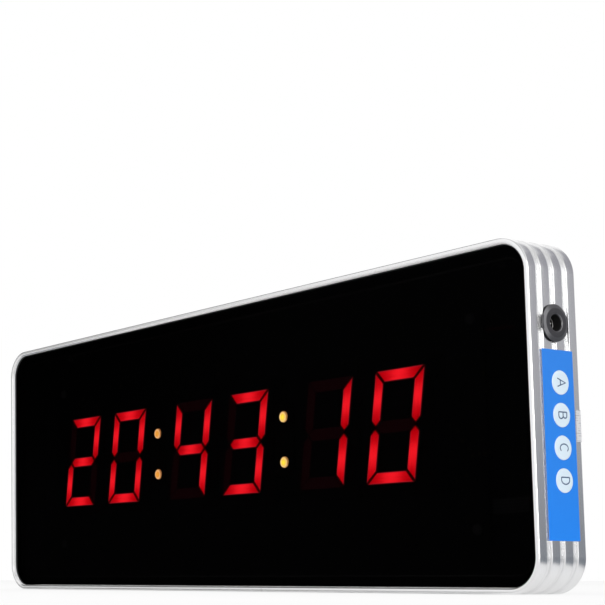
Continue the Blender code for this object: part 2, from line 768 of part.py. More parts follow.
def make_jack_body():
    front, back = JACK_FRONT_X, JACK_BACK_X
    face = front + JACK_FLANGE_T
    floor = back + 0.0030
    # (x, radius), from the inner end outwards and back down the bore
    body = add_turned("dc_jack_body", JACK_GREY, (
        (back, 0.0), (back, JACK_BARREL_R - 0.0008), (back + 0.0002, JACK_BARREL_R),
        (front, JACK_BARREL_R), (front, JACK_FLANGE_R), (face - 0.0005, JACK_FLANGE_R),
        (face - 0.0001, JACK_FLANGE_R - 0.0006), (face, JACK_FLANGE_R - 0.0014),
        (face, JACK_BORE_R + 0.0006), (face - 0.0006, JACK_BORE_R),
        (floor, JACK_BORE_R), (floor, 0.0)), X_AXIS, 24, centre=JACK_CENTRE)
    # low tabs on the front and rear edges of the flange
    tabs = bmesh.new()
    for side in (-1, 1):
        y_span = sorted((JACK_Y + side * (JACK_FLANGE_R - 0.0014),
                         JACK_Y + side * (JACK_FLANGE_R + 0.0002)))
        box(tabs, (front + 0.0001, front + 0.0007), y_span, (JACK_Z - 0.0026, JACK_Z + 0.0026))
    boolean(body, tabs, "UNION")
    cut = bmesh.new()
    extrude_x(cut, circle((JACK_Y, JACK_Z), JACK_PIN_R + 0.0003, 12),
              back - OVERCUT, back + 0.0040)
    boolean(body, cut)


def make_jack_pin():
    back, tip = JACK_BACK_X - 0.0022, JACK_FRONT_X - 0.0014
    add_turned("dc_jack_pin", NICKEL,
               ((back, 0.0), (back, JACK_PIN_R), (tip - 0.0007, JACK_PIN_R),
                (tip - 0.0002, JACK_PIN_R * 0.7), (tip, 0.0)), X_AXIS, 16, centre=JACK_CENTRE)


def make_jack_nut():
    """Hexagonal nut on the barrel, inside the end wall, with one corner up."""
    half_flats = 0.0056
    inner_wall_x = HALF_W - WALL
    shape = bmesh.new()
    extrude_x(shape, circle((JACK_Y, JACK_Z), half_flats / math.cos(math.pi / 6), 6, math.pi / 2),
              inner_wall_x - 0.0026, inner_wall_x - 0.0003)
    nut = add_object("dc_jack_nut", shape, ZINC_STEEL)
    cut = bmesh.new()
    extrude_x(cut, circle((JACK_Y, JACK_Z), JACK_BARREL_R + 0.00025, 24), HALF_W - 0.010, HALF_W)
    boolean(nut, cut)


make_jack_body()
make_jack_pin()
make_jack_nut()

# Leads from the socket to the board:
# name, material, y and z of the start and z of the pad, all from the socket's axis
LEADS = (
    ("power_lead_red", WIRE_RED, 0.0024, 0.0016, 0.00352),
    ("power_lead_black", WIRE_BLACK, 0.0018, -0.0026, -0.00484),
)
LEAD_START_X = JACK_BACK_X - 0.0008
LEAD_R = 0.0007
PAD_X = 0.1330
PAD_Y = PCB_Y[1] + 0.0019


def make_lead(name, surface, start_dy, start_dz, pad_dz):
    y, z = JACK_Y + start_dy, JACK_Z + start_dz
    pad_z = JACK_Z + pad_dz
    path = bezier((LEAD_START_X, y, z), (LEAD_START_X - 0.0060, y, z),
                  (PAD_X + 0.0180, PAD_Y, pad_z), (PAD_X, PAD_Y, pad_z), 10)
    shape = bmesh.new()
    tube(shape, path, LEAD_R, 8)
    add_object(name, shape, surface)


for lead in LEADS:
    make_lead(*lead)


# ---------------------------------------------------------------- label, switches and buttons
FILM_X = HALF_W + FILM_GAP     # inner face of the label and the seal
SWITCH_X = (BOARD_X[1] + MOUNT_GAP, BOARD_X[1] + 0.0036)
SWITCH_LENGTH = SWITCH_X[1] - SWITCH_X[0]
SWITCH_SIDE = 0.0060
PLUNGER_X = (SWITCH_X[1] - 0.0011, SWITCH_X[1] + 0.0014)
BUTTON_PROUD = 0.00025
CAP_X = (PLUNGER_X[1] + 0.00005, FILM_X + LABEL_T + BUTTON_PROUD)


def make_side_label():
    shape = bmesh.new()
    extrude_x(shape, rectangle(LABEL_Y, LABEL_Z), FILM_X, FILM_X + LABEL_T)
    label = add_object("side_label", shape, BLUE_FILM)
    cut = bmesh.new()
    for z in BUTTON_Z:
        extrude_x(cut, circle((BUTTON_Y, z), BUTTON_R + 0.00012, 24),
                  FILM_X - OVERCUT, FILM_X + OVERCUT)
    boolean(label, cut)


def make_button_pcb():
    shape = bmesh.new()
    extrude_x(shape, rectangle(BOARD_Y, BOARD_Z), *BOARD_X)
    add_object("button_pcb", shape, SOLDER_MASK)


def make_switch_body(name, location):
    """Square body with a round well for the plunger in its +X face."""
    shape = bmesh.new()
    box(shape, (0.0, SWITCH_LENGTH), centred(SWITCH_SIDE), centred(SWITCH_SIDE))
    body = add_object(name, shape, SWITCH_BLACK, location)
    cut = bmesh.new()
    extrude_x(cut, circle((0.0, 0.0), 0.0019, 16), SWITCH_LENGTH - 0.0016,
              SWITCH_LENGTH + OVERCUT)
    boolean(body, cut)
    return applied(body)


def make_plunger(name, location):
    length = PLUNGER_X[1] - PLUNGER_X[0]
    radius = 0.0017
    edge = 0.0002
    profile = ((0.0, 0.0), (0.0, radius), (length - edge, radius), (length, radius - edge),
               (length, 0.0))
    return add_turned(name, SWITCH_BLACK, profile, X_AXIS, 16, location=location)


def make_button_cap(name, location):
    """Round cap with a wider flange at its inner end."""
    length = CAP_X[1] - CAP_X[0]
    flange_r = 0.0054
    flange_t = 0.0009
    edge = 0.00015
    profile = ((0.0, 0.0), (0.0, flange_r), (flange_t, flange_r), (flange_t, BUTTON_R),
               (length - edge, BUTTON_R), (length, BUTTON_R - edge), (length, 0.0))
    return add_turned(name, BUTTON_WHITE, profile, X_AXIS, 24, location=location)


make_side_label()
make_button_pcb()
for prefix, inner_x, make in (("switch_body", SWITCH_X[0], make_switch_body),
                              ("switch_plunger", PLUNGER_X[0], make_plunger),
                              ("button_cap", CAP_X[0], make_button_cap)):
    add_repeats(prefix, [(inner_x, BUTTON_Y, z) for z in BUTTON_Z], make, LETTERS)


# ---------------------------------------------------------------- ribbon and seal
def make_ribbon():
    """Flat cable from the button board to the main board."""
    start_x = BOARD_X[0] - 0.0004
    end_y = PCB_Y[1] + 0.0009
    z = -0.0330
    half_thickness = 0.0004
    half_width = Vector((0.0, 0.0, 0.0030))
    path = bezier((start_x, BUTTON_Y, z), (BOARD_X[0] - 0.0110, BUTTON_Y, z),
                  (0.1560, end_y, z), (0.1400, end_y, z), 12)
    rings = []
    for point, tangent in zip(path, path_tangents(path)):
        normal = Vector((-tangent.y, tangent.x, 0.0)) * half_thickness
        rings.append([point - normal - half_width, point + normal - half_width,
                      point + normal + half_width, point - normal + half_width])
    shape = bmesh.new()
    loft(shape, rings)
    add_object("button_ribbon", shape, RIBBON_GREY)


def make_seal():
    """Paper seal folded over the rear edge, from the end wall onto the back cover."""
    thickness = 0.00012
    fold = 0.0001                  # chamfer on the inside of the fold
    front_y = -0.0029
    cover_end_x = 0.1722
    rear_y = Y_FRAME_BACK + FILM_GAP
    outline = ((FILM_X, front_y), (FILM_X + thickness, front_y),
               (FILM_X + thickness, rear_y - fold), (FILM_X, rear_y + thickness),
               (cover_end_x, rear_y + thickness), (cover_end_x, rear_y),
               (FILM_X - fold, rear_y), (FILM_X, rear_y - fold))
    shape = bmesh.new()
    loft(shape, [[(x, y, z) for x, y in outline] for z in (-0.0104, 0.0016)])
    add_object("seal_sticker", shape, SEAL_PAPER)


make_ribbon()
make_seal()
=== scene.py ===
"""Looks for the LED wall clock and round timer: fine meshes, materials, floor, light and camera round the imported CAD."""
import math

import bmesh
import bpy
from mathutils import Matrix, Vector


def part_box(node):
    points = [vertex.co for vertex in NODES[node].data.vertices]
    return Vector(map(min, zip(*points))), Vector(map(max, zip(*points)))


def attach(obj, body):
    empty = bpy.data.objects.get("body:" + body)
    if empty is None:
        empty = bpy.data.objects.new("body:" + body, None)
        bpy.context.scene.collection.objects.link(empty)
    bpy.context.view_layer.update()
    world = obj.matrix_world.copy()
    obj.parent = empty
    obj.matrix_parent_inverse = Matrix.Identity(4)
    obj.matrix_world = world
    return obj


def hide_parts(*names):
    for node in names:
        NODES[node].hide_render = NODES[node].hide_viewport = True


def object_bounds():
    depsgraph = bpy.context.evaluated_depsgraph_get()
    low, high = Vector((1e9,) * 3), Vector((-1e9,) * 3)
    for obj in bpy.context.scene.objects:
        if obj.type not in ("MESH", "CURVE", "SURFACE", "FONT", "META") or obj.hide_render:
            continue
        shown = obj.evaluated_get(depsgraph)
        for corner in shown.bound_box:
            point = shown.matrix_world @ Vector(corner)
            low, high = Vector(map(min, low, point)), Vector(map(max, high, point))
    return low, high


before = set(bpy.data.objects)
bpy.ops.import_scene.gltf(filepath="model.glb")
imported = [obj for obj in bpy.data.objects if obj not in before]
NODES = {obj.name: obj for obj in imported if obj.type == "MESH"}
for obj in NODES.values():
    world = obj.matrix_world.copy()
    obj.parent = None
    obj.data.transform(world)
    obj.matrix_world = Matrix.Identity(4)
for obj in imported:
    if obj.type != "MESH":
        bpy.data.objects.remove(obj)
cad_low, cad_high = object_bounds()
TAU = 2 * math.pi
MM = 0.001

# ------------------------------------------------------------------ places read from the CAD
f_low, f_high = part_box("frame")
HW, HH = (f_high.x - f_low.x) / 2, (f_high.z - f_low.z) / 2
Y_LIP, Y_REAR = f_low.y, f_high.y
CORNER = 0.0140
WALL = 0.0022
GROOVES = ((-0.02172, -0.01892), (-0.01457, -0.01184), (-0.00743, -0.00460))
GROOVE_DEPTH = 0.0008
SEAM_X = 0.0300


# ------------------------------------------------------------------ node helpers
def new_material(name):
    mat = bpy.data.materials.new(name)
    mat.use_nodes = True
    mat.node_tree.nodes.clear()
    return mat


class Tree:
    """Short-hand for building a node tree."""

    def __init__(self, tree):
        self.tree = tree

    def node(self, kind, **settings):
        n = self.tree.nodes.new(kind)
        for key, value in settings.items():
            setattr(n, key, value)
        return n

    def put(self, n, name, value):
        socket = n.inputs[name]
        if isinstance(value, bpy.types.NodeSocket):
            self.tree.links.new(value, socket)
        elif isinstance(value, (tuple, list)) and len(value) == 3 and len(getattr(socket, "default_value", ())) == 4:
            socket.default_value = (*value, 1.0)
        else:
            socket.default_value = value

    def math(self, op, a, b=0.0, c=None, clamp=False):
        n = self.node("ShaderNodeMath", operation=op, use_clamp=clamp)
        self.put(n, 0, a)
        self.put(n, 1, b)
        if c is not None:
            self.put(n, 2, c)
        return n.outputs[0]

    def vmath(self, op, a, b=None):
        n = self.node("ShaderNodeVectorMath", operation=op)
        self.put(n, 0, a)
        if b is not None:
            self.put(n, 1, b)
        return n.outputs["Value"] if op in ("DOT_PRODUCT", "LENGTH", "DISTANCE") else n.outputs["Vector"]

    def range(self, value, a, b, c=0.0, d=1.0, smooth=False):
        n = self.node("ShaderNodeMapRange", interpolation_type="SMOOTHSTEP" if smooth else "LINEAR", clamp=True)
        self.put(n, "Value", value)
        for key, v in (("From Min", a), ("From Max", b), ("To Min", c), ("To Max", d)):
            self.put(n, key, v)
        return n.outputs["Result"]

    def mix(self, fac, a, b, blend="MIX"):
        n = self.node("ShaderNodeMix", data_type="RGBA", blend_type=blend)
        self.put(n, 0, fac)
        self.put(n, 6, a)
        self.put(n, 7, b)
        return n.outputs[2]

    def coords(self, scale=(1.0, 1.0, 1.0)):
        tc = self.node("ShaderNodeTexCoord")
        mp = self.node("ShaderNodeMapping")
        self.put(mp, "Vector", tc.outputs["Object"])
        mp.inputs["Scale"].default_value = scale
        return mp.outputs["Vector"]

    def noise(self, vector, scale, detail=3.0, rough=0.5, distortion=0.0):
        n = self.node("ShaderNodeTexNoise")
        self.put(n, "Vector", vector)
        self.put(n, "Scale", scale)
        self.put(n, "Detail", detail)
        self.put(n, "Roughness", rough)
        self.put(n, "Distortion", distortion)
        return n.outputs["Fac"]

    def voronoi(self, vector, scale, feature="F1"):
        n = self.node("ShaderNodeTexVoronoi", feature=feature)
        self.put(n, "Vector", vector)
        self.put(n, "Scale", scale)
        return n.outputs["Distance"]

    def bump(self, height, strength, distance):
        n = self.node("ShaderNodeBump")
        self.put(n, "Height", height)
        self.put(n, "Strength", strength)
        self.put(n, "Distance", distance)
        return n.outputs["Normal"]

    def edges(self, low=0.505, high=0.56):
        g = self.node("ShaderNodeNewGeometry")
        return self.range(g.outputs["Pointiness"], low, high)

    def principled(self, **values):
        n = self.node("ShaderNodeBsdfPrincipled")
        for key, value in values.items():
            self.put(n, key.replace("_", " ").title().replace("Ior", "IOR"), value)
        return n

    def output(self, shader):
        out = self.node("ShaderNodeOutputMaterial")
        self.tree.links.new(shader, out.inputs["Surface"])


def plastic(name, colour, rough=0.45, grain=1400.0, grain_depth=0.00003, strength=0.35, vary=0.18, spec=0.5, dust=0.0):
    """Moulded plastic: spark-eroded grain, patchy gloss, faint handling marks on the edges."""
    mat = new_material(name)
    t = Tree(mat.node_tree)
    co = t.coords()
    fine = t.noise(co, grain, 2.0, 0.6)
    cells = t.voronoi(co, grain * 0.7, "SMOOTH_F1")
    patch = t.noise(co, 28.0, 4.0, 0.6)
    marks = t.range(t.noise(t.coords((1.0, 1.0, 0.25)), 210.0, 3.0, 0.7), 0.60, 0.72)
    dark = tuple(c * (1 - vary) for c in colour)
    light = tuple(min(1.0, c * (1 + vary)) for c in colour)
    col = t.mix(patch, dark, light)
    col = t.mix(t.math("MULTIPLY", t.edges(), 0.30), col, tuple(min(1.0, c * 1.5 + 0.02) for c in colour))
    if dust:
        specks = t.range(t.voronoi(co, 260.0), 0.10, 0.05)
        col = t.mix(t.math("MULTIPLY", specks, dust), col, (0.45, 0.44, 0.42))
    r = t.math("ADD", rough - 0.06, t.math("MULTIPLY", patch, 0.12))
    r = t.math("SUBTRACT", r, t.math("MULTIPLY", marks, 0.08), clamp=True)
    height = t.math("ADD", t.math("MULTIPLY", fine, 0.6), t.math("MULTIPLY", cells, 0.4))
    p = t.principled(base_color=col, roughness=r, specular_ior_level=spec,
                     normal=t.bump(height, strength, grain_depth))
    t.output(p.outputs[0])
    return mat


def metal(name, colour, rough=0.25, streak=(3.0, 2600.0, 3.0), strength=0.25, vary=0.06, spot=0.0):
    """Drawn or plated metal: streaks along one direction, cloudy gloss, edges brighter from wear."""
    mat = new_material(name)
    t = Tree(mat.node_tree)
    lines = t.noise(t.coords(streak), 1.0, 4.0, 0.65)
    broad = t.noise(t.coords(tuple(s * 0.25 for s in streak)), 1.0, 2.0, 0.5)
    cloud = t.noise(t.coords(), 36.0, 4.0, 0.55)
    grain = t.noise(t.coords(), 5200.0, 2.0, 0.5)
    dark = tuple(c * (1 - vary) for c in colour)
    light = tuple(min(1.0, c * (1 + vary)) for c in colour)
    col = t.mix(t.math("ADD", t.math("MULTIPLY", lines, 0.6), t.math("MULTIPLY", cloud, 0.4)), dark, light)
    col = t.mix(t.math("MULTIPLY", t.edges(), 0.35), col, tuple(min(1.0, c * 1.18) for c in colour))
    if spot:
        dots = t.range(t.voronoi(t.coords(), 240.0), 0.08, 0.04)
        col = t.mix(t.math("MULTIPLY", dots, spot), col, tuple(c * 0.55 for c in colour))
    r = t.math("ADD", rough - 0.05, t.math("MULTIPLY", broad, 0.06))
    r = t.math("ADD", r, t.math("MULTIPLY", cloud, 0.05), clamp=True)
    height = t.math("ADD", t.math("MULTIPLY", lines, 0.7), t.math("MULTIPLY", grain, 0.3))
    p = t.principled(base_color=col, metallic=1.0, roughness=r, normal=t.bump(height, strength, 0.00002))
    t.output(p.outputs[0])
    return mat


# ------------------------------------------------------------------ materials
M_FRAME = metal("drawn_satin_aluminium", (0.86, 0.86, 0.865), 0.22, (3.0, 2400.0, 3.0), 0.14, 0.04, spot=0.2)
M_INNER_ALU = metal("mill_aluminium", (0.74, 0.74, 0.76), 0.34, (3.0, 1500.0, 3.0), 0.35, 0.08)
M_ZINC = metal("zinc_plated_steel", (0.66, 0.67, 0.69), 0.30, (500.0, 500.0, 500.0), 0.20, 0.12, spot=0.2)
M_NICKEL = metal("nickel_contact", (0.84, 0.83, 0.80), 0.14, (300.0, 2400.0, 2400.0), 0.15, 0.05)
M_CAN = metal("drawn_can", (0.80, 0.80, 0.82), 0.26, (900.0, 900.0, 900.0), 0.20, 0.06)
M_COVER = plastic("black_abs_cover", (0.030, 0.030, 0.032), 0.52, 1500.0, 0.00005, 0.5, 0.15, dust=0.12)
M_CHIP = plastic("chip_epoxy", (0.020, 0.020, 0.022), 0.48, 3800.0, 0.00002, 0.4, 0.12)
M_HOUSING = plastic("digit_housing_black", (0.0045, 0.0045, 0.0048), 0.75, 2600.0, 0.00002, 0.3, 0.10, spec=0.15)
M_SWITCH = plastic("switch_black", (0.022, 0.022, 0.023), 0.42, 3000.0, 0.00002, 0.3, 0.12)


def socket_material():
    """Moulded nylon: rubbed satin face, flank painted darker as shade, and a polished sloping ring between them that is
    painted pale towards the front as a highlight.
    """
    mat = new_material("socket_grey")
    t = Tree(mat.node_tree)
    co = t.coords()
    geo = t.node("ShaderNodeNewGeometry")
    sep = t.node("ShaderNodeSeparateXYZ")
    t.put(sep, 0, geo.outputs["True Normal"])
    front = t.range(sep.outputs[0], 0.78, 0.93, smooth=True)
    rim = t.math("MULTIPLY", t.range(sep.outputs[0], 0.10, 0.35, smooth=True), t.range(sep.outputs[0], 0.992, 0.968, smooth=True))
    patch = t.noise(co, 620.0, 3.0, 0.6)
    fine = t.noise(co, 3600.0, 2.0, 0.6)
    # painted shade: the flank gets a darker colour than the face
    flank = t.mix(patch, (0.014, 0.013, 0.016), (0.020, 0.019, 0.023))
    face = t.mix(patch, (0.036, 0.036, 0.040), (0.052, 0.050, 0.055))
    col = t.mix(front, flank, face)
    painted_ring_highlight = t.math("MULTIPLY", rim, t.range(sep.outputs[1], -0.12, -0.26, smooth=True))
    col = t.mix(t.math("MULTIPLY", painted_ring_highlight, front), col, (0.150, 0.148, 0.158))  # painted highlight: the sloping ring is painted pale towards the front
    col = t.mix(t.math("MULTIPLY", t.range(fine, 0.60, 0.70), 0.35), col, (0.085, 0.083, 0.088))
    p = t.principled(base_color=col, roughness=t.math("ADD", 0.26, t.math("MULTIPLY", fine, 0.14)),
                     specular_ior_level=t.math("ADD", 0.22, t.math("MULTIPLY", rim, 0.75)),
                     normal=t.bump(fine, 0.30, 0.00002))
    t.output(p.outputs[0])
    return mat


M_JACK = socket_material()
M_JACK_BORE = plastic("socket_bore", (0.006, 0.006, 0.006), 0.50, 2600.0, 0.00002, 0.2, 0.10, spec=0.3)
M_FOAM = plastic("black_foam", (0.012, 0.012, 0.012), 0.90, 900.0, 0.00010, 0.8, 0.25, spec=0.2)
M_WIRE_RED = plastic("wire_red", (0.48, 0.015, 0.015), 0.40, 1800.0, 0.00002, 0.2, 0.10)
M_WIRE_BLACK = plastic("wire_black", (0.012, 0.012, 0.013), 0.40, 1800.0, 0.00002, 0.2, 0.10)


def board_material():
    """Black solder mask over copper tracks, with gold pads in rows."""
    mat = new_material("board_black_mask")
    t = Tree(mat.node_tree)
    co = t.coords()
    wave = t.node("ShaderNodeTexWave", wave_type="BANDS", bands_direction="DIAGONAL")
    t.put(wave, "Vector", co)
    t.put(wave, "Scale", 95.0)
    t.put(wave, "Distortion", 5.0)
    t.put(wave, "Detail", 1.0)
    t.put(wave, "Detail Scale", 0.6)
    tracks = t.range(wave.outputs["Fac"], 0.55, 0.62)
    pads = t.range(t.voronoi(co, 210.0), 0.22, 0.18)
    pad_rows = t.range(t.noise(co, 45.0, 1.0), 0.56, 0.60)
    pads = t.math("MULTIPLY", pads, pad_rows)
    col = t.mix(tracks, (0.0042, 0.0050, 0.0048), (0.0090, 0.0105, 0.0098))
    col = t.mix(pads, col, (0.62, 0.47, 0.20))
    height = t.math("ADD", tracks, t.math("MULTIPLY", pads, 0.6))
    p = t.principled(base_color=col, roughness=t.math("ADD", 0.34, t.math("MULTIPLY", t.noise(co, 60.0), 0.12)),
                     metallic=pads, specular_ior_level=0.3, normal=t.bump(height, 0.6, 0.00004))
    t.output(p.outputs[0])
    return mat


def ribbon_material():
    mat = new_material("ribbon_cable")
    t = Tree(mat.node_tree)
    wave = t.node("ShaderNodeTexWave", wave_type="BANDS", bands_direction="Z")
    t.put(wave, "Vector", t.coords())
    t.put(wave, "Scale", 260.0)
    col = t.mix(t.range(wave.outputs["Fac"], 0.0, 0.5), (0.20, 0.20, 0.21), (0.44, 0.45, 0.47))
    p = t.principled(base_color=col, roughness=0.5, normal=t.bump(wave.outputs["Fac"], 0.8, 0.0002))
    t.output(p.outputs[0])
    return mat


PANEL_CLEAR = 0.05  # share of the light the smoked window lets through


def panel_material():
    """Smoked acrylic: nearly black, lets the lit segments through, with a faint polished reflection."""
    mat = new_material("smoked_acrylic")
    t = Tree(mat.node_tree)
    co = t.coords()
    clear = t.node("ShaderNodeBsdfTransparent")
    smoke = t.noise(co, 14.0, 3.0, 0.5)
    each = math.sqrt(PANEL_CLEAR)  # the light passes two faces
    tint = t.mix(smoke, (each * 0.98, each * 0.96, each * 0.97), (each * 1.02, each * 1.0, each * 1.01))
    t.put(clear, "Color", tint)
    gloss = t.node("ShaderNodeBsdfGlossy")
    haze = t.noise(co, 30.0, 4.0, 0.6)
    hair = t.range(t.noise(t.coords((1.0, 1.0, 0.06)), 420.0, 2.0, 0.5), 0.70, 0.78)
    t.put(gloss, "Roughness", t.math("ADD", t.math("ADD", 0.05, t.math("MULTIPLY", haze, 0.03)), t.math("MULTIPLY", hair, 0.06)))
    t.put(gloss, "Color", (0.9, 0.92, 1.0))
    facing = t.node("ShaderNodeLayerWeight")
    facing.inputs["Blend"].default_value = 0.5
    face = facing.outputs["Facing"]
    shine = t.math("ADD", t.range(face, 0.0, 0.20, 0.008, 0.0006), t.range(face, 0.55, 1.0, 0.0, 0.30, smooth=True))
    mix = t.node("ShaderNodeMixShader")
    t.put(mix, 0, shine)
    t.tree.links.new(clear.outputs[0], mix.inputs[1])
    t.tree.links.new(gloss.outputs[0], mix.inputs[2])
    t.output(mix.outputs[0])
    return mat


def segment_material():
    """Red epoxy light pipes: lit ones glow hottest over the chips in the middle, unlit ones stay dark red."""
    mat = new_material("red_segments")
    t = Tree(mat.node_tree)
    attr = t.node("ShaderNodeAttribute", attribute_name="seg")
    sep = t.node("ShaderNodeSeparateXYZ")
    t.put(sep, 0, attr.outputs["Vector"])
    u, v, lit = sep.outputs[0], sep.outputs[1], sep.outputs[2]
    along = t.math("ABSOLUTE", u)
    across = t.math("ABSOLUTE", v)
    cloud = t.noise(t.coords(), 330.0, 3.0, 0.6)
    pipe = t.node("ShaderNodeCombineXYZ")
    t.put(pipe, 0, t.math("MULTIPLY", u, 0.7))
    t.put(pipe, 1, t.math("MULTIPLY", v, 3.2))
    seed = t.node("ShaderNodeSeparateXYZ")
    t.put(seed, 0, t.coords())
    t.put(pipe, 2, t.math("MULTIPLY", t.math("ADD", seed.outputs[0], seed.outputs[2]), 18.0))
    streak = t.noise(pipe.outputs[0], 1.6, 2.0, 0.6)
    where = t.math("ADD", along, t.math("MULTIPLY", t.math("SUBTRACT", streak, 0.5), 0.55))
    where = t.math("ADD", where, t.math("MULTIPLY", t.math("SUBTRACT", cloud, 0.5), 0.20), clamp=True)
    ramp = t.node("ShaderNodeValToRGB")
    ramp.color_ramp.elements[0].position = 0.04
    ramp.color_ramp.elements[0].color = (0.86, 0.0085, 0.0165, 1)
    ramp.color_ramp.elements[1].position = 1.0
    ramp.color_ramp.elements[1].color = (0.22, 0.000, 0.001, 1)
    for at, colour in ((0.25, (0.76, 0.006, 0.0125, 1)), (0.45, (0.56, 0.002, 0.006, 1)), (0.70, (0.43, 0.000, 0.003, 1))):
        ramp.color_ramp.elements.new(at).color = colour
    t.put(ramp, 0, where)
    rim = t.range(across, 0.66, 0.95, smooth=True)
    colour = t.mix(t.math("MULTIPLY", rim, 0.70), ramp.outputs[0], (0.36, 0.012, 0.024))
    inset = t.node("ShaderNodeAttribute", attribute_name="inset")
    tip = t.range(inset.outputs["Fac"], 0.05, 0.42, 0.05, 1.0, smooth=True)
    colour = t.mix(lit, (0.0028, 0.0001, 0.0003), t.mix(tip, (0.0, 0.0, 0.0), colour))
    body = t.mix(lit, (0.028, 0.0022, 0.0024), (0.10, 0.002, 0.002))
    p = t.principled(base_color=body, roughness=0.45, specular_ior_level=0.3, emission_color=colour,
                     emission_strength=1.0 / PANEL_CLEAR, normal=t.bump(cloud, 0.2, 0.0001))
    t.output(p.outputs[0])
    return mat


def colon_material(name, middle, body, ring):
    """Flat-topped LED: hot middle a little off centre, paler rim where the edge catches the light."""
    mat = new_material(name)
    t = Tree(mat.node_tree)
    attr = t.node("ShaderNodeAttribute", attribute_name="radial")
    cloud = t.noise(t.coords(), 900.0, 2.0, 0.5)
    r = t.math("ADD", attr.outputs["Fac"], t.math("MULTIPLY", t.math("SUBTRACT", cloud, 0.5), 0.25))
    ramp = t.node("ShaderNodeValToRGB")
    ramp.color_ramp.elements[0].position = 0.10
    ramp.color_ramp.elements[0].color = (*middle, 1)
    ramp.color_ramp.elements[1].position = 1.0
    ramp.color_ramp.elements[1].color = (ring[0] * 0.35, ring[1] * 0.22, ring[2] * 0.15, 1)
    ramp.color_ramp.elements.new(0.48).color = (*body, 1)
    ramp.color_ramp.elements.new(0.72).color = (*ring, 1)
    ramp.color_ramp.elements.new(0.86).color = (ring[0] * 0.85, ring[1] * 0.80, ring[2] * 0.8, 1)
    t.put(ramp, 0, r)
    p = t.principled(base_color=(0.50, 0.28, 0.05), roughness=0.30, emission_color=ramp.outputs[0],
                     emission_strength=1.0 / PANEL_CLEAR, normal=t.bump(cloud, 0.2, 0.00005))
    t.output(p.outputs[0])
    return mat


def label_material():
    """Blue printed film: slightly bluer towards the bottom, print grain, satin laminate."""
    mat = new_material("blue_printed_film")
    t = Tree(mat.node_tree)
    co = t.coords()
    sep = t.node("ShaderNodeSeparateXYZ")
    t.put(sep, 0, co)
    height_blend = t.range(sep.outputs[2], -0.047, 0.024)
    col = t.mix(height_blend, (0.012, 0.224, 0.825), (0.029, 0.226, 0.770))
    col = t.mix(t.math("MULTIPLY", t.noise(co, 2600.0, 2.0), 0.10), col, (0.050, 0.282, 0.910))
    col = t.mix(t.math("MULTIPLY", t.noise(co, 90.0, 4.0), 0.16), col, (0.015, 0.186, 0.690))
    wavy = t.noise(t.coords((1.0, 1.0, 0.2)), 160.0, 2.0, 0.5)
    p = t.principled(base_color=col, roughness=t.math("ADD", 0.36, t.math("MULTIPLY", t.noise(co, 300.0), 0.10)),
                     specular_ior_level=0.25, normal=t.bump(wavy, 0.10, 0.00006))
    t.output(p.outputs[0])
    return mat


def button_material():
    mat = new_material("button_white")
    t = Tree(mat.node_tree)
    co = t.coords()
    col = t.mix(t.noise(co, 200.0, 4.0), (0.665, 0.780, 0.870), (0.715, 0.830, 0.915))
    col = t.mix(t.math("MULTIPLY", t.edges(0.52, 0.60), 0.4), col, (0.50, 0.64, 0.80))
    p = t.principled(base_color=col, roughness=t.math("ADD", 0.38, t.math("MULTIPLY", t.noise(co, 700.0), 0.10)),
                     specular_ior_level=0.25, normal=t.bump(t.noise(co, 3000.0), 0.12, 0.00002))
    t.output(p.outputs[0])
    return mat


def ink_material():
    mat = new_material("letter_ink")
    t = Tree(mat.node_tree)
    co = t.coords()
    col = t.mix(t.noise(co, 2400.0, 2.0), (0.040, 0.085, 0.175), (0.070, 0.125, 0.230))
    p = t.principled(base_color=col, roughness=0.45, specular_ior_level=0.2,
                     normal=t.bump(t.noise(co, 5000.0), 0.2, 0.00001))
    t.output(p.outputs[0])
    return mat


def paper_material():
    """Coated paper with rows of faint dashes, as a plain security print."""
    mat = new_material("seal_paper")
    t = Tree(mat.node_tree)
    co = t.coords()
    fibre = t.noise(t.coords((1.0, 3.0, 1.0)), 1500.0, 4.0, 0.7)
    col = t.mix(fibre, (0.61, 0.615, 0.63), (0.71, 0.715, 0.73))
    wave = t.node("ShaderNodeTexWave", wave_type="BANDS", bands_direction="Z")
    t.put(wave, "Vector", co)
    t.put(wave, "Scale", 330.0)
    dash = t.math("MULTIPLY", t.range(wave.outputs["Fac"], 0.62, 0.80), t.range(t.noise(co, 900.0, 1.0), 0.46, 0.54))
    col = t.mix(t.math("MULTIPLY", dash, 0.75), col, (0.36, 0.37, 0.40))
    p = t.principled(base_color=col, roughness=t.math("ADD", 0.50, t.math("MULTIPLY", fibre, 0.2)),
                     specular_ior_level=0.3, normal=t.bump(fibre, 0.5, 0.00003))
    t.output(p.outputs[0])
    return mat


def recess_material():
    """Satin blasted inner wall of the rim: scatters the light instead of mirroring the dark window."""
    mat = new_material("blasted_aluminium")
    t = Tree(mat.node_tree)
    co = t.coords()
    grain = t.noise(co, 4200.0, 3.0, 0.6)
    lines = t.noise(t.coords((3.0, 1800.0, 3.0)), 1.0, 3.0, 0.6)
    col = t.mix(t.math("ADD", t.math("MULTIPLY", grain, 0.5), t.math("MULTIPLY", lines, 0.5)), (0.90, 0.90, 0.91), (0.99, 0.99, 0.99))
    sep = t.node("ShaderNodeSeparateXYZ")
    t.put(sep, 0, co)
    col = t.mix(t.range(sep.outputs[1], -0.02445, -0.02415), col, (0.02, 0.02, 0.02))  # near-black band along the wall where it meets the window
    p = t.principled(base_color=col, metallic=0.25, roughness=t.math("ADD", 0.42, t.math("MULTIPLY", grain, 0.15)),
                     normal=t.bump(grain, 0.35, 0.00002))
    t.output(p.outputs[0])
    return mat


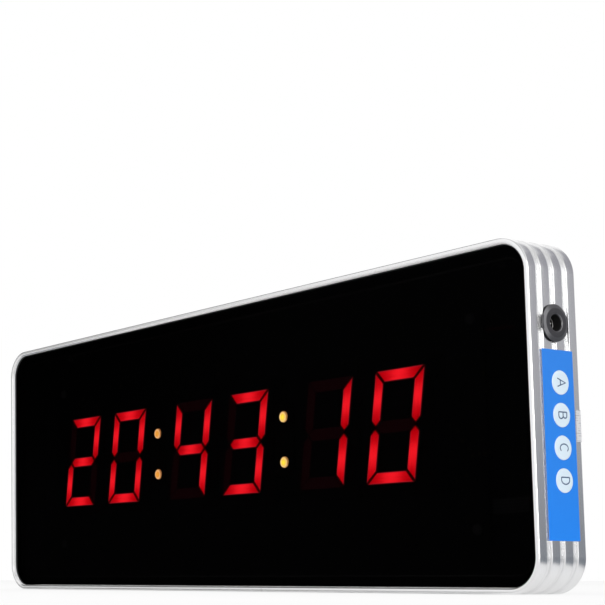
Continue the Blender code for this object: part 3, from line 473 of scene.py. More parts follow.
def mill_material():
    """Dull mill-finish aluminium inside the case, with drawing lines and dark oxide."""
    mat = new_material("mill_aluminium")
    t = Tree(mat.node_tree)
    co = t.coords()
    grain = t.noise(co, 1500.0, 3.0, 0.6)
    lines = t.noise(t.coords((3.0, 1800.0, 3.0)), 1.0, 3.0, 0.6)
    col = t.mix(t.math("ADD", t.math("MULTIPLY", grain, 0.5), t.math("MULTIPLY", lines, 0.5)), (0.060, 0.061, 0.064), (0.125, 0.126, 0.130))
    p = t.principled(base_color=col, metallic=0.35, roughness=t.math("ADD", 0.62, t.math("MULTIPLY", grain, 0.20)),
                     specular_ior_level=0.2, normal=t.bump(grain, 0.35, 0.00002))
    t.output(p.outputs[0])
    return mat


M_RECESS = recess_material()
M_MILL = mill_material()
M_BOARD = board_material()
M_RIBBON = ribbon_material()
M_PANEL = panel_material()
M_SEGMENTS = segment_material()
M_COLON_AMBER = colon_material("colon_amber", (0.86, 0.42, 0.045), (0.80, 0.28, 0.035), (0.84, 0.50, 0.20))
M_COLON_YELLOW = colon_material("colon_yellow", (1.02, 0.88, 0.060), (1.00, 0.66, 0.050), (0.92, 0.66, 0.25))
M_LABEL = label_material()
M_BUTTON = button_material()
M_INK = ink_material()
M_PAPER = paper_material()


# ------------------------------------------------------------------ mesh helpers
def piece(name, bm, mat, body="case", location=(0, 0, 0), smooth=32.0, replaces=()):
    bmesh.ops.recalc_face_normals(bm, faces=bm.faces)
    mesh = bpy.data.meshes.new(name)
    bm.to_mesh(mesh)
    bm.free()
    return place(name, mesh, mat, body, location, smooth, replaces)


def place(name, mesh, mat, body="case", location=(0, 0, 0), smooth=32.0, replaces=()):
    if smooth and not mesh.get("shaded"):
        mesh.shade_smooth()
        mesh.set_sharp_from_angle(angle=math.radians(smooth))
        mesh["shaded"] = 1
    if not mesh.materials:
        mesh.materials.append(mat)
    ob = bpy.data.objects.new(name, mesh)
    ob.location = location
    bpy.context.scene.collection.objects.link(ob)
    if body:
        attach(ob, body)
        if replaces:
            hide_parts(*replaces)
    return ob


def apply_modifiers(ob, smooth=32.0):
    bpy.context.view_layer.update()
    cutters = [m.object for m in ob.modifiers if m.type == "BOOLEAN"]
    graph = bpy.context.evaluated_depsgraph_get()
    mesh = bpy.data.meshes.new_from_object(ob.evaluated_get(graph), depsgraph=graph)
    ob.modifiers.clear()
    ob.data = mesh
    for cutter in cutters:
        bpy.data.objects.remove(cutter, do_unlink=True)
    if smooth:
        mesh.shade_smooth()
        mesh.set_sharp_from_angle(angle=math.radians(smooth))
        mesh["shaded"] = 1
    return ob


def cut(ob, bm, operation="DIFFERENCE"):
    bmesh.ops.recalc_face_normals(bm, faces=bm.faces)
    mesh = bpy.data.meshes.new("cutter")
    bm.to_mesh(mesh)
    bm.free()
    cutter = bpy.data.objects.new("cutter", mesh)
    cutter.matrix_world = ob.matrix_world
    cutter.hide_render = True
    bpy.context.scene.collection.objects.link(cutter)
    mod = ob.modifiers.new(operation, "BOOLEAN")
    mod.operation = operation
    mod.solver = "EXACT"
    mod.object = cutter


def loft(bm, rings, cap=True, closed_path=False):
    rows = [[bm.verts.new(p) for p in ring] for ring in rings]
    n = len(rows[0])
    for i in range(len(rows) if closed_path else len(rows) - 1):
        a, b = rows[i], rows[(i + 1) % len(rows)]
        for j in range(n):
            k = (j + 1) % n
            bm.faces.new((a[j], a[k], b[k], b[j]))
    if cap and not closed_path:
        bm.faces.new(rows[0])
        bm.faces.new(list(reversed(rows[-1])))
    return rows


def turned(bm, profile, centre=(0, 0, 0), axis=(0, 1, 0), steps=48):
    """Solid of revolution from (distance along axis, radius) pairs; returns the rings of vertices."""
    axis = Vector(axis).normalized()
    side = axis.orthogonal().normalized()
    other = axis.cross(side)
    centre = Vector(centre)
    rows = []
    for along, radius in profile:
        base = centre + axis * along
        if radius <= 1e-9:
            rows.append([bm.verts.new(base)])
        else:
            rows.append([bm.verts.new(base + side * (radius * math.cos(TAU * i / steps))
                                      + other * (radius * math.sin(TAU * i / steps))) for i in range(steps)])
    for a, b in zip(rows, rows[1:]):
        for i in range(steps):
            k = (i + 1) % steps
            if len(a) == 1 and len(b) == 1:
                break
            if len(a) == 1:
                bm.faces.new((a[0], b[i], b[k]))
            elif len(b) == 1:
                bm.faces.new((a[i], b[0], a[k]))
            else:
                bm.faces.new((a[i], b[i], b[k], a[k]))
    return rows


def arc(ca, cr, radius, start, stop, n):
    """Profile points of a circular fillet, angles in degrees, 0 along the axis, 90 outwards."""
    return [(ca + radius * math.cos(math.radians(start + (stop - start) * i / n)),
             cr + radius * math.sin(math.radians(start + (stop - start) * i / n))) for i in range(n + 1)]


def prism(bm, outline, low, high, axis="Y"):
    if axis == "Y":
        return loft(bm, [[(u, v, w) for u, w in outline] for v in (low, high)])
    return loft(bm, [[(v, u, w) for u, w in outline] for v in (low, high)])


def circle(cu, cv, r, steps):
    return [(cu + r * math.cos(TAU * i / steps), cv + r * math.sin(TAU * i / steps)) for i in range(steps)]


def outline(inset, steps=20):
    cx, cz, r = HW - CORNER, HH - CORNER, CORNER - inset
    points = []
    for sx, sz, start in ((1, 1, 0.0), (-1, 1, 90.0), (-1, -1, 180.0), (1, -1, 270.0)):
        for i in range(steps + 1):
            a = math.radians(start + 90.0 * i / steps)
            points.append((sx * cx + r * math.cos(a), sz * cz + r * math.sin(a)))
    return points


def rounded_box_outline(u, v, r, n=6):
    points = []
    for su, sv, start in ((1, 1, 0.0), (0, 1, 90.0), (0, 0, 180.0), (1, 0, 270.0)):
        cu = u[1] - r if su else u[0] + r
        cv = v[1] - r if sv else v[0] + r
        for i in range(n + 1):
            a = math.radians(start + 90.0 * i / n)
            points.append((cu + r * math.cos(a), cv + r * math.sin(a)))
    return points


# ------------------------------------------------------------------ extruded frame with ribbed grooves
RIBS = 4
RIB_HEIGHT = 0.00022


def frame_profile():
    pts = []
    # rounded outer lip, then the side with its grooves
    for i in range(7):
        a = math.radians(90.0 * i / 6)
        pts.append((Y_LIP + 0.0006 * (1 - math.sin(a)), 0.0006 * (1 - math.cos(a))))
    pts = [(y, d) for y, d in reversed(pts)]
    for front, back in GROOVES:
        r = 0.00012
        wall = 0.00028
        for i in range(4):
            a = math.radians(90.0 * i / 3 * 0.8)
            pts.append((front - r + r * math.sin(a), r * (1 - math.cos(a))))
        a0, a1 = front + wall, back - wall
        pitch = (a1 - a0) / RIBS
        for k in range(RIBS):
            for i in range(7):
                s = i / 6
                if k and i == 0:
                    continue
                lift = RIB_HEIGHT * math.sqrt(max(0.0, 1 - (2 * s - 1) ** 2))
                pts.append((a0 + pitch * (k + s), GROOVE_DEPTH - lift))
        for i in range(4):
            a = math.radians(90.0 * (3 - i) / 3 * 0.8)
            pts.append((back + r - r * math.sin(a), r * (1 - math.cos(a))))
    rear = 0.0002
    for i in range(4):
        a = math.radians(90.0 * i / 3)
        pts.append((Y_REAR - rear * (1 - math.sin(a)), rear * (1 - math.cos(a))))
    pts += [(Y_REAR, 0.0018), (Y_REAR - 0.0002, 0.0020), (-0.0021, 0.0020), (-0.0021, 0.0072), (-0.0036, 0.0072),
            (-0.0036, WALL), (-0.0191, WALL), (-0.0191, 0.0072), (-0.0206, 0.0072), (-0.0206, WALL)]
    # bevelled inner edge of the lip
    pts += [(Y_LIP + 0.00055, WALL), (Y_LIP + 0.00049, WALL - 0.00002), (Y_LIP + 0.00006, WALL - 0.00045),
            (Y_LIP + 0.00002, WALL - 0.00053), (Y_LIP, WALL - 0.00064)]
    clean = []
    for p in pts:
        if not clean or math.hypot(p[0] - clean[-1][0], p[1] - clean[-1][1]) > 2e-6:
            clean.append(p)
    return clean


def make_frame():
    cx, cz = HW - CORNER, HH - CORNER
    stations = [(SEAM_X + 0.00015, -cz, 270.0), (SEAM_X + 0.0030, -cz, 270.0), (HW * 0.5, -cz, 270.0)]
    corner = 22
    for sx, sz, start in ((1, -1, 270.0), (1, 1, 0.0), (-1, 1, 90.0), (-1, -1, 180.0)):
        for i in range(corner + 1):
            stations.append((sx * cx, sz * cz, start + 90.0 * i / corner))
        if start == 0.0:
            stations += [(x, cz, 90.0) for x in (0.10, 0.0, -0.10)]
        if start == 180.0:
            stations += [(x, -cz, 270.0) for x in (-0.10, 0.0, SEAM_X - 0.0030)]
    stations.append((SEAM_X - 0.00015, -cz, 270.0))
    profile = frame_profile()
    rings = []
    for px, pz, deg in stations:
        a = math.radians(deg)
        rings.append([(px + (CORNER - d) * math.cos(a), y, pz + (CORNER - d) * math.sin(a)) for y, d in profile])
    bm = bmesh.new()
    loft(bm, rings)
    ob = piece("frame_extrusion", bm, M_FRAME, replaces=("frame",), smooth=0)
    holes = bmesh.new()
    for letter in "abcd":
        lo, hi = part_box("button_cap_" + letter)
        prism(holes, circle((lo.y + hi.y) / 2, (lo.z + hi.z) / 2, 0.0049, 40), HW - 0.004, HW + 0.002, "X")
    lo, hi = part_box("dc_jack_pin")
    prism(holes, circle((lo.y + hi.y) / 2, (lo.z + hi.z) / 2, 0.0049, 40), HW - 0.004, HW + 0.002, "X")
    for n in range(1, 5):
        lo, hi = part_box(f"back_cover_screw_{n}")
        prism(holes, circle((lo.x + hi.x) / 2, (lo.z + hi.z) / 2, 0.00145, 20), -0.0046, -0.0011)
    cut(ob, holes)
    apply_modifiers(ob, 26.0)
    # the inner wall of the rim, in front of the window
    ob.data.materials.append(M_RECESS)
    ob.data.materials.append(M_MILL)
    for f in ob.data.polygons:
        inset = min(HW - abs(f.center.x), HH - abs(f.center.z))
        turn = Vector((max(abs(f.center.x) - (HW - CORNER), 0.0), max(abs(f.center.z) - (HH - CORNER), 0.0)))
        depth = CORNER - turn.length if turn.x > 0.0 and turn.y > 0.0 else inset
        if -0.0206 < f.center.y < -0.0030 and depth > WALL - 0.0003:
            f.material_index = 2
        if f.center.y < -0.0206 and abs(f.normal.y) < 0.6 and inset > 0.0016:
            outward = Vector((f.center.x / HW, 0.0, f.center.z / HH))
            corner = Vector((max(abs(f.center.x) - (HW - CORNER), 0.0) * math.copysign(1, f.center.x), 0.0,
                             max(abs(f.center.z) - (HH - CORNER), 0.0) * math.copysign(1, f.center.z)))
            out = corner if corner.length > 1e-6 else outward
            if f.normal.dot(out) < 0:
                f.material_index = 1
    return ob


make_frame()


# ------------------------------------------------------------------ smoked front panel
def make_panel():
    lo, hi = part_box("front_panel")
    inset = HW - hi.x
    bm = bmesh.new()
    rings = []
    for i in range(4):
        a = math.radians(90.0 * i / 3)
        rings.append([(x, lo.y + 0.0003 * (1 - math.sin(a)), z) for x, z in outline(inset + 0.0003 * (1 - math.cos(a)))])
    rings.append([(x, hi.y, z) for x, z in outline(inset)])
    loft(bm, rings)
    return piece("front_window", bm, M_PANEL, replaces=("front_panel",))


make_panel()


# ------------------------------------------------------------------ back cover, moulded
def keyhole(cx, cz, grow=0.0):
    big, small, rise = 0.0040 + grow, 0.0023 + grow, 0.0085
    edge = math.asin(small / big)
    points = []
    start, stop = math.pi / 2 + edge, math.pi / 2 + TAU - edge
    for i in range(33):
        a = start + (stop - start) * i / 32
        points.append((cx + big * math.cos(a), cz + big * math.sin(a)))
    for i in range(17):
        a = math.pi * i / 16
        points.append((cx + small * math.cos(a), cz + rise + small * math.sin(a)))
    return points


def slot_outline(cx, z0, z1, r, n=10):
    points = []
    for i in range(n + 1):
        a = math.pi * i / n
        points.append((cx + r * math.cos(a), z1 - r + r * math.sin(a)))
    for i in range(n + 1):
        a = math.pi + math.pi * i / n
        points.append((cx + r * math.cos(a), z0 + r + r * math.sin(a)))
    return points


def make_back_cover():
    inset, step, field = 0.0023, -0.0004, 0.0090
    rings = [[(x, -0.0019, z) for x, z in outline(inset)]]
    for i in range(4):
        a = math.radians(90.0 * i / 3)
        rings.append([(x, step - 0.0003 * (1 - math.sin(a)), z) for x, z in outline(inset + 0.0003 * (1 - math.cos(a)))])
    rings.append([(x, step, z) for x, z in outline(field - 0.0005)])
    for i in range(1, 6):
        s = i / 5
        y = step * (1 - (3 * s * s - 2 * s ** 3))
        rings.append([(x, y, z) for x, z in outline(field - 0.0005 + 0.0010 * s)])
    bm = bmesh.new()
    loft(bm, rings)
    ob = piece("rear_cover_moulding", bm, M_COVER, replaces=("back_cover",), smooth=0)
    add = bmesh.new()
    for n in range(1, 5):
        lo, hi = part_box(f"pcb_screw_{n}")
        prism(add, circle((lo.x + hi.x) / 2, (lo.z + hi.z) / 2, 0.0032, 28), -0.00735, -0.0012)
    b_lo, b_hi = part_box("button_pcb")
    for z0, z1 in ((b_hi.z - 0.0018, b_hi.z + 0.0027), (b_lo.z - 0.0027, b_lo.z + 0.0018)):
        prism(add, rounded_box_outline((0.1676, 0.1724), (z0, z1), 0.0004, 4), -0.0165, -0.0012)
    cut(ob, add, "UNION")
    holes = bmesh.new()
    for x in (-0.1, 0.1):
        prism(holes, keyhole(x, 0.0300), -0.0030, 0.001)
    for i in range(9):
        prism(holes, slot_outline(-0.0240 + 0.0060 * i, -0.0420, -0.0240, 0.0011), -0.0030, 0.001)
    for n in range(1, 5):
        lo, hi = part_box(f"pcb_screw_{n}")
        prism(holes, circle((lo.x + hi.x) / 2, (lo.z + hi.z) / 2, 0.00125, 20), -0.0085, -0.0016)
    for z0, z1 in ((b_hi.z - 0.0030, b_hi.z + 0.0003), (b_lo.z - 0.0003, b_lo.z + 0.0030)):
        prism(holes, ((b_lo.x - 0.0002, z0), (b_hi.x + 0.0002, z0), (b_hi.x + 0.0002, z1), (b_lo.x - 0.0002, z1)),
              -0.0180, b_hi.y + 0.0003)
    for n in range(1, 5):
        lo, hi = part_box(f"back_cover_screw_{n}")
        turned(holes, ((-0.0029, 0.0), (-0.0029, 0.00145), (-0.0016, 0.00145), (-0.0006, 0.0024), (0.0006, 0.0024),
                       (0.0006, 0.0)), ((lo.x + hi.x) / 2, 0.0, (lo.z + hi.z) / 2), (0, 1, 0), 28)
    cut(ob, holes)
    apply_modifiers(ob, 28.0)
    return ob


make_back_cover()


# ------------------------------------------------------------------ screws with cross recesses
def screw_mesh(name, profile, arm, half, depth, top, sign):
    bm = bmesh.new()
    turned(bm, profile, steps=40)
    bmesh.ops.recalc_face_normals(bm, faces=bm.faces)
    mesh = bpy.data.meshes.new(name)
    bm.to_mesh(mesh)
    bm.free()
    ob = bpy.data.objects.new(name + "_tmp", mesh)
    bpy.context.scene.collection.objects.link(ob)
    bm = bmesh.new()
    tip = 0.55

    def cross(scale, w):
        a, h = arm * scale, w
        return ((h, h), (h, a), (-h, a), (-h, h), (-a, h), (-a, -h), (-h, -h), (-h, -a), (h, -a), (h, -h), (a, -h), (a, h))

    rings = [[(x, top - sign * depth, z) for x, z in cross(tip, half * 0.7)],
             [(x, top + sign * 0.0002, z) for x, z in cross(1.0, half)]]
    loft(bm, rings)
    cut(ob, bm)
    apply_modifiers(ob, 32.0)
    mesh = ob.data
    mesh.name = name
    bpy.data.objects.remove(ob, do_unlink=True)
    mesh.materials.clear()
    return mesh


lo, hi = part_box("back_cover_screw_1")
head = (hi.x - lo.x) / 2
length = hi.y - lo.y
profile = [(-length, 0.0), (-length, head * 0.25), (-length + 0.0016, 0.0012)]
for k in range(5):  # thread crests
    y = -length + 0.0018 + 0.00062 * k
    profile += [(y, 0.00098), (y + 0.00018, 0.0012), (y + 0.00030, 0.0012), (y + 0.00048, 0.00098)]
profile += [(-0.0011, 0.0012), (-0.0002, head), (-0.00006, head), (0.0, head - 0.00007), (0.0, 0.0)]
cover_screw = screw_mesh("cover_screw_mesh", profile, head * 0.62, head * 0.12, 0.0007, 0.0, 1)
for n in range(1, 5):
    lo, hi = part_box(f"back_cover_screw_{n}")
    place(f"countersunk_screw_{n}", cover_screw, M_ZINC, location=((lo.x + hi.x) / 2, hi.y, (lo.z + hi.z) / 2),
          replaces=(f"back_cover_screw_{n}",))


# ------------------------------------------------------------------ seven-segment digits
LIT = {"0": (1, 1, 1, 1, 1, 1, 0), "1": (0, 1, 1, 0, 0, 0, 0), "2": (1, 1, 0, 1, 1, 0, 1), "3": (1, 1, 1, 1, 0, 0, 1),
       "4": (0, 1, 1, 0, 0, 1, 1)}
SHOWN = "204310"
DW, DH, DT, DG, SLANT = 0.0134, 0.0236, 0.0049, 0.0008, 0.152


def segment_shapes():
    """Outline, centre, direction and half length of each segment: top, upper right, lower right, bottom, lower left, upper left, middle."""
    w, h, t = DW, DH, DT
    m, e = t / 2, DG / math.sqrt(2)
    top = [(-w + e, h), (w - e, h), (w - t - e, h - t), (-w + t + e, h - t)]
    right = [(w, h - e), (w, e + m), (w - m, e), (w - t, e + m), (w - t, h - t - e)]
    middle = [(-w + m + e, 0.0), (-w + t + e, m), (w - t - e, m), (w - m - e, 0.0), (w - t - e, -m), (-w + t + e, -m)]

    def mirrored(points, sx, sz):
        out = [(sx * x, sz * z) for x, z in points]
        return list(reversed(out)) if sx * sz < 0 else out

    flat, up = (1.0, 0.0), (0.0, 1.0)
    return [
        (top, (0, h - m), flat, w - e), (right, (w - m, h / 2), up, h / 2), (mirrored(right, 1, -1), (w - m, -h / 2), up, h / 2),
        (mirrored(top, 1, -1), (0, -h + m), flat, w - e), (mirrored(right, -1, -1), (-w + m, -h / 2), up, h / 2),
        (mirrored(right, -1, 1), (-w + m, h / 2), up, h / 2), (middle, (0, 0), flat, w - m)]


def inset_outline(points, distance):
    """Convex outline moved inwards by a distance."""
    n = len(points)
    area = sum(points[i][0] * points[(i + 1) % n][1] - points[(i + 1) % n][0] * points[i][1] for i in range(n))
    sign = -1.0 if area > 0 else 1.0
    out = []
    for i in range(n):
        p, q, r = Vector(points[i - 1]), Vector(points[i]), Vector(points[(i + 1) % n])
        a, b = (q - p).normalized(), (r - q).normalized()
        na, nb = Vector((a.y, -a.x)) * sign, Vector((b.y, -b.x)) * sign
        mid = na + nb
        moved = q + mid * (distance * 2.0 / mid.length_squared)
        out.append((moved.x, moved.y))
    return out


def make_digit(n, char):
    lo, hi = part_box(f"digit_diffuser_{n}")
    cx, cz = (lo.x + hi.x) / 2, (lo.z + hi.z) / 2
    front, back = lo.y, hi.y
    plate_front = back - 0.0008
    bm = bmesh.new()
    layer = bm.verts.layers.float_vector.new("seg")
    depth = bm.verts.layers.float.new("inset")
    prism(bm, rounded_box_outline((lo.x - cx + 0.0002, hi.x - cx - 0.0002), (lo.z - cz + 0.0002, hi.z - cz - 0.0002), 0.0008, 4),
          plate_front, back)
    for lit, (points, centre, along, half) in zip(LIT[char], segment_shapes()):
        rings, insets = [], []
        for y, inset in ((plate_front + 0.0002, 0.0), (front + 0.00030, 0.0), (front + 0.00018, 0.00003), (front + 0.00009, 0.00009),
                         (front + 0.00003, 0.00018), (front, 0.00032), (front, 0.0009), (front, 0.0016), (front, 0.0021)):
            rings.append([(x, y, z) for x, z in (inset_outline(points, inset) if inset else points)])
            insets.append(inset)
        for row, inset in zip(loft(bm, rings), insets):
            for v in row:
                v[depth] = inset * 1000.0
                dx, dz = v.co.x - centre[0], v.co.z - centre[1]
                v[layer] = ((dx * along[0] + dz * along[1]) / half, (dx * along[1] - dz * along[0]) / (DT / 2), float(lit))
                v.co.x += SLANT * v.co.z
    return piece(f"digit_light_pipes_{n}", bm, M_SEGMENTS, location=(cx, 0, cz),
                 replaces=(f"digit_diffuser_{n}",), smooth=50.0)


for n, char in enumerate(SHOWN, 1):
    make_digit(n, char)


# ------------------------------------------------------------------ round colon LEDs in their black spacer blocks
LAMP_R = 0.0025


def make_colon_mesh(name, height, flange, mat):
    r = LAMP_R
    profile = [(0.0, 0.0), (0.0, flange - 0.00015), (-0.00015, flange), (-0.0009, flange), (-0.00105, flange - 0.00015),
               (-0.00105, r), (-(height - 0.00045), r)]
    for i in range(1, 9):
        a = math.radians(90.0 * i / 8)
        profile.append((-(height - 0.00045) - 0.00036 * math.sin(a), r - 0.0007 * (1 - math.cos(a))))
    for s in (0.55, 0.35, 0.18):
        profile.append((-height + 0.00009 * (s / 0.72) ** 2, r * s))
    profile.append((-height, 0.0))
    bm = bmesh.new()
    layer = bm.verts.layers.float.new("radial")
    turned(bm, profile, steps=48)
    for v in bm.verts:
        v[layer] = min(1.0, math.hypot(v.co.x + 0.0001, v.co.z + 0.00015) / r)
    bmesh.ops.recalc_face_normals(bm, faces=bm.faces)
    mesh = bpy.data.meshes.new(name)
    bm.to_mesh(mesh)
    bm.free()
    mesh.materials.append(mat)
    return mesh


def make_spacer(side):
    lo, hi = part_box("colon_spacer_" + side)
    lamps = [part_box(f"colon_led_{n}") for n in ((1, 2) if side == "left" else (3, 4))]
    bm = bmesh.new()
    rings = []
    for y, ins in ((hi.y, 0.0002), (hi.y - 0.0002, 0.0), (lo.y + 0.0004, 0.0), (lo.y + 0.00012, 0.00012), (lo.y, 0.0004)):
        rings.append([(x, y, z) for x, z in rounded_box_outline((lo.x + ins, hi.x - ins), (lo.z + ins, hi.z - ins), 0.0008, 5)])
    loft(bm, rings)
    ob = piece("colon_block_" + side, bm, M_HOUSING, replaces=("colon_spacer_" + side,), smooth=0)
    holes = bmesh.new()
    for a, b in lamps:
        turned(holes, ((0.001, 0.0), (0.001, 0.0031), (-0.0013, 0.0031), (-0.0013, LAMP_R + 0.00012), (lo.y - hi.y + 0.0002, LAMP_R + 0.00012),
                       (lo.y - hi.y - 0.0002, LAMP_R + 0.0005), (lo.y - hi.y - 0.001, LAMP_R + 0.0005), (lo.y - hi.y - 0.001, 0.0)),
               ((a.x + b.x) / 2, hi.y, (a.z + b.z) / 2), (0, 1, 0), 40)
    cut(ob, holes)
    apply_modifiers(ob, 30.0)


lo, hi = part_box("colon_led_1")
colon_a = make_colon_mesh("colon_a", hi.y - lo.y, 0.0029, M_COLON_AMBER)
colon_b = make_colon_mesh("colon_b", hi.y - lo.y, 0.0029, M_COLON_YELLOW)
for n in range(1, 5):
    lo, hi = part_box(f"colon_led_{n}")
    place(f"colon_lamp_{n}", colon_a if n < 3 else colon_b, None, location=((lo.x + hi.x) / 2, hi.y, (lo.z + hi.z) / 2),
          replaces=(f"colon_led_{n}",), smooth=40.0)
for side in ("left", "right"):
    make_spacer(side)


# ------------------------------------------------------------------ power socket
def make_jack():
    lo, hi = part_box("dc_jack_body")
    p_lo, p_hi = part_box("dc_jack_pin")
    cy, cz = (p_lo.y + p_hi.y) / 2, (p_lo.z + p_hi.z) / 2
    out = HW + 0.0003
    top = hi.x
    big = (hi.z - lo.z) / 2
    bore, barrel = 0.0031, 0.0046
    profile = [(lo.x, 0.0), (lo.x, barrel - 0.0006), (lo.x + 0.0003, barrel - 0.0001)]
    x = lo.x + 0.0008
    while x < out - 0.0030:  # mounting thread
        profile += [(x, barrel - 0.0003), (x + 0.0002, barrel), (x + 0.00035, barrel), (x + 0.00055, barrel - 0.0003)]
        x += 0.00075
    profile += [(out, barrel - 0.0001), (out, big - 0.00012), (out + 0.00012, big)]
    profile += [(top - 0.00064, big), (top - 0.00056, big - 0.00003), (top - 0.00050, big - 0.00011), (top - 0.00006, big - 0.00150),
                (top - 0.00001, big - 0.00178), (top, big - 0.0021), (top, big - 0.0023), (top, bore + 0.0011)]
    profile += [(top - 0.0006 + 0.0006 * math.cos(math.radians(a)), bore + 0.0007 - 0.0007 * math.sin(math.radians(a)))
                for a in (15, 30, 45, 60, 75, 90)]
    profile += [(top - 0.0040, bore), (top - 0.0041, bore - 0.0003), (top - 0.0047, bore - 0.0003), (top - 0.0048, bore),
                (lo.x + 0.0030, bore), (lo.x + 0.0030, 0.0)]
    bm = bmesh.new()
    turned(bm, profile, (0, cy, cz), (1, 0, 0), 72)
    ob = piece("power_socket_body", bm, M_JACK, replaces=("dc_jack_body",), smooth=0)
    tabs = bmesh.new()
    for side in (-1, 1):
        y0, y1 = sorted((cy + side * (big - 0.0016), cy + side * (big + 0.0002)))
        rings = []
        for xx, ins in ((out + 0.0001, 0.0), (out + 0.0005, 0.0), (out + 0.00064, 0.00005), (out + 0.0007, 0.00018)):
            rings.append([(xx, u, v) for u, v in rounded_box_outline((y0 + ins, y1 - ins), (cz - 0.0026 + ins, cz + 0.0026 - ins), 0.0005, 4)])
        loft(tabs, rings)
    cut(ob, tabs, "UNION")
    floor_hole = bmesh.new()
    prism(floor_hole, circle(cy, cz, 0.0013, 24), lo.x - 0.001, lo.x + 0.0040, "X")
    cut(ob, floor_hole)
    apply_modifiers(ob, 30.0)
    ob.data.materials.append(M_JACK_BORE)
    ob.data.materials.append(M_NICKEL)
    for f in ob.data.polygons:
        c = f.center
        r = math.hypot(c.y - cy, c.z - cz)
        if c.x < top - 0.0006 and r < bore + 0.00005 and c.x > lo.x + 0.0005:
            f.material_index = 1
        if top - 0.0048 < c.x < top - 0.0039 and r < bore + 0.00005:
            f.material_index = 2

    # contact pin with a rounded tip
    bm = bmesh.new()
    r = (p_hi.y - p_lo.y) / 2
    tip = p_hi.x
    profile = [(p_lo.x, 0.0), (p_lo.x, r - 0.0001), (p_lo.x + 0.0001, r)]
    profile += [(tip - 0.00075, r), (tip - 0.00068, r - 0.00004), (tip - 0.00012, r - 0.00058), (tip - 0.00004, r - 0.00068),
                (tip, r - 0.0008), (tip, 0.0)]
    turned(bm, profile, (0, cy, cz), (1, 0, 0), 40)
    piece("power_socket_pin", bm, M_NICKEL, replaces=("dc_jack_pin",))


make_jack()


# ------------------------------------------------------------------ label, buttons and their letters
BUTTONS = []
for letter in "abcd":
    lo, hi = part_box("button_cap_" + letter)
    BUTTONS.append((letter, (lo.y + hi.y) / 2, (lo.z + hi.z) / 2, lo.x, hi.x))
CAP_R = 0.00456


def make_label():
    lo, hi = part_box("side_label")
    bm = bmesh.new()
    edge = 0.00005
    rings = []
    for x, ins in ((lo.x, 0.0), (hi.x - edge, 0.0), (hi.x, edge)):
        rings.append([(x, u, v) for u, v in rounded_box_outline((lo.y + ins, hi.y - ins), (lo.z + ins, hi.z - ins), 0.00035, 5)])
    loft(bm, rings)
    ob = piece("button_label_film", bm, M_LABEL, replaces=("side_label",), smooth=0)
    holes = bmesh.new()
    for _, y, z, _, _ in BUTTONS:
        prism(holes, circle(y, z, CAP_R + 0.00006, 64), lo.x - 0.001, hi.x + 0.001, "X")
    cut(ob, holes)
    apply_modifiers(ob, 30.0)


make_label()


def make_cap_mesh(x0, x1):
    long = x1 - x0
    r = 0.00020
    profile = [(0.0, 0.0), (0.0, 0.0053), (0.0001, 0.0054), (0.0008, 0.0054), (0.0009, 0.0053), (0.0009, CAP_R), (long - r, CAP_R)]
    profile += [(long - r + r * math.sin(math.radians(a)), CAP_R - r + r * math.cos(math.radians(a))) for a in (22.5, 45, 67.5, 90)]
    profile += [(long, CAP_R * 0.7), (long, CAP_R * 0.35), (long, 0.0)]
    bm = bmesh.new()
    turned(bm, profile, (0, 0, 0), (1, 0, 0), 72)
    bmesh.ops.recalc_face_normals(bm, faces=bm.faces)
    mesh = bpy.data.meshes.new("cap_mesh")
    bm.to_mesh(mesh)
    bm.free()
    mesh.materials.append(M_BUTTON)
    return mesh


def stroke(bm, points, width, x0, x1, closed=False):
    """Flat pen stroke along 2D points (right, up); laid on the cap's face."""
    pts = [Vector(p) for p in points]
    n = len(pts)
    left, right = [], []
    for i in range(n):
        if closed:
            a, b = pts[i - 1], pts[(i + 1) % n]
        else:
            a, b = pts[max(i - 1, 0)], pts[min(i + 1, n - 1)]
        t = (b - a).normalized()
        s = Vector((-t.y, t.x)) * (width / 2)
        if 0 < i < n - 1 or closed:
            t0 = (pts[i] - pts[i - 1]).normalized()
            t1 = (pts[(i + 1) % n] - pts[i]).normalized()
            c = max(0.5, t.dot(t0))
            s = s / c
        left.append(pts[i] + s)
        right.append(pts[i] - s)
    rings = []
    for l, r in zip(left, right):
        # letter's right is -Z and its up is +Y, as the label is read from below upwards
        def at(p, x):
            return (x, p.y, -p.x)
        rings.append([at(l, x0), at(l, x1), at(r, x1), at(r, x0)])
    loft(bm, rings, closed_path=closed)


def letter_strokes(letter, h):
    """Centre lines of a plain sans letter of height h, centred on the origin."""
    w = h * 0.70
    a, b = h / 2, w / 2

    def bow(cx, cy, rx, ry, start, stop, n=20):
        return [(cx + rx * math.cos(math.radians(start + (stop - start) * i / n)),
                 cy + ry * math.sin(math.radians(start + (stop - start) * i / n))) for i in range(n + 1)]

    if letter == "a":
        return [[(-b, -a), (0.0, a), (b, -a)], [(-b * 0.62, -a * 0.28), (b * 0.62, -a * 0.28)]]
    if letter == "b":
        return [[(-b * 0.75, a), (-b * 0.75, -a)],
                [(-b * 0.75, a)] + bow(b * 0.10, a * 0.53, b * 0.60, a * 0.47, 90, -90, 16) + [(-b * 0.75, a * 0.06)],
                [(b * 0.05, a * 0.06)] + bow(b * 0.15, -a * 0.47, b * 0.70, a * 0.53, 90, -90, 16) + [(-b * 0.75, -a)]]
    if letter == "c":
        return [bow(b * 0.08, 0.0, b * 1.0, a, 48, 312, 30)]
    return [[(-b * 0.80, a), (-b * 0.80, -a)],
            [(-b * 0.80, a)] + bow(-b * 0.15, 0.0, b * 1.02, a, 90, -90, 24) + [(-b * 0.80, -a)]]


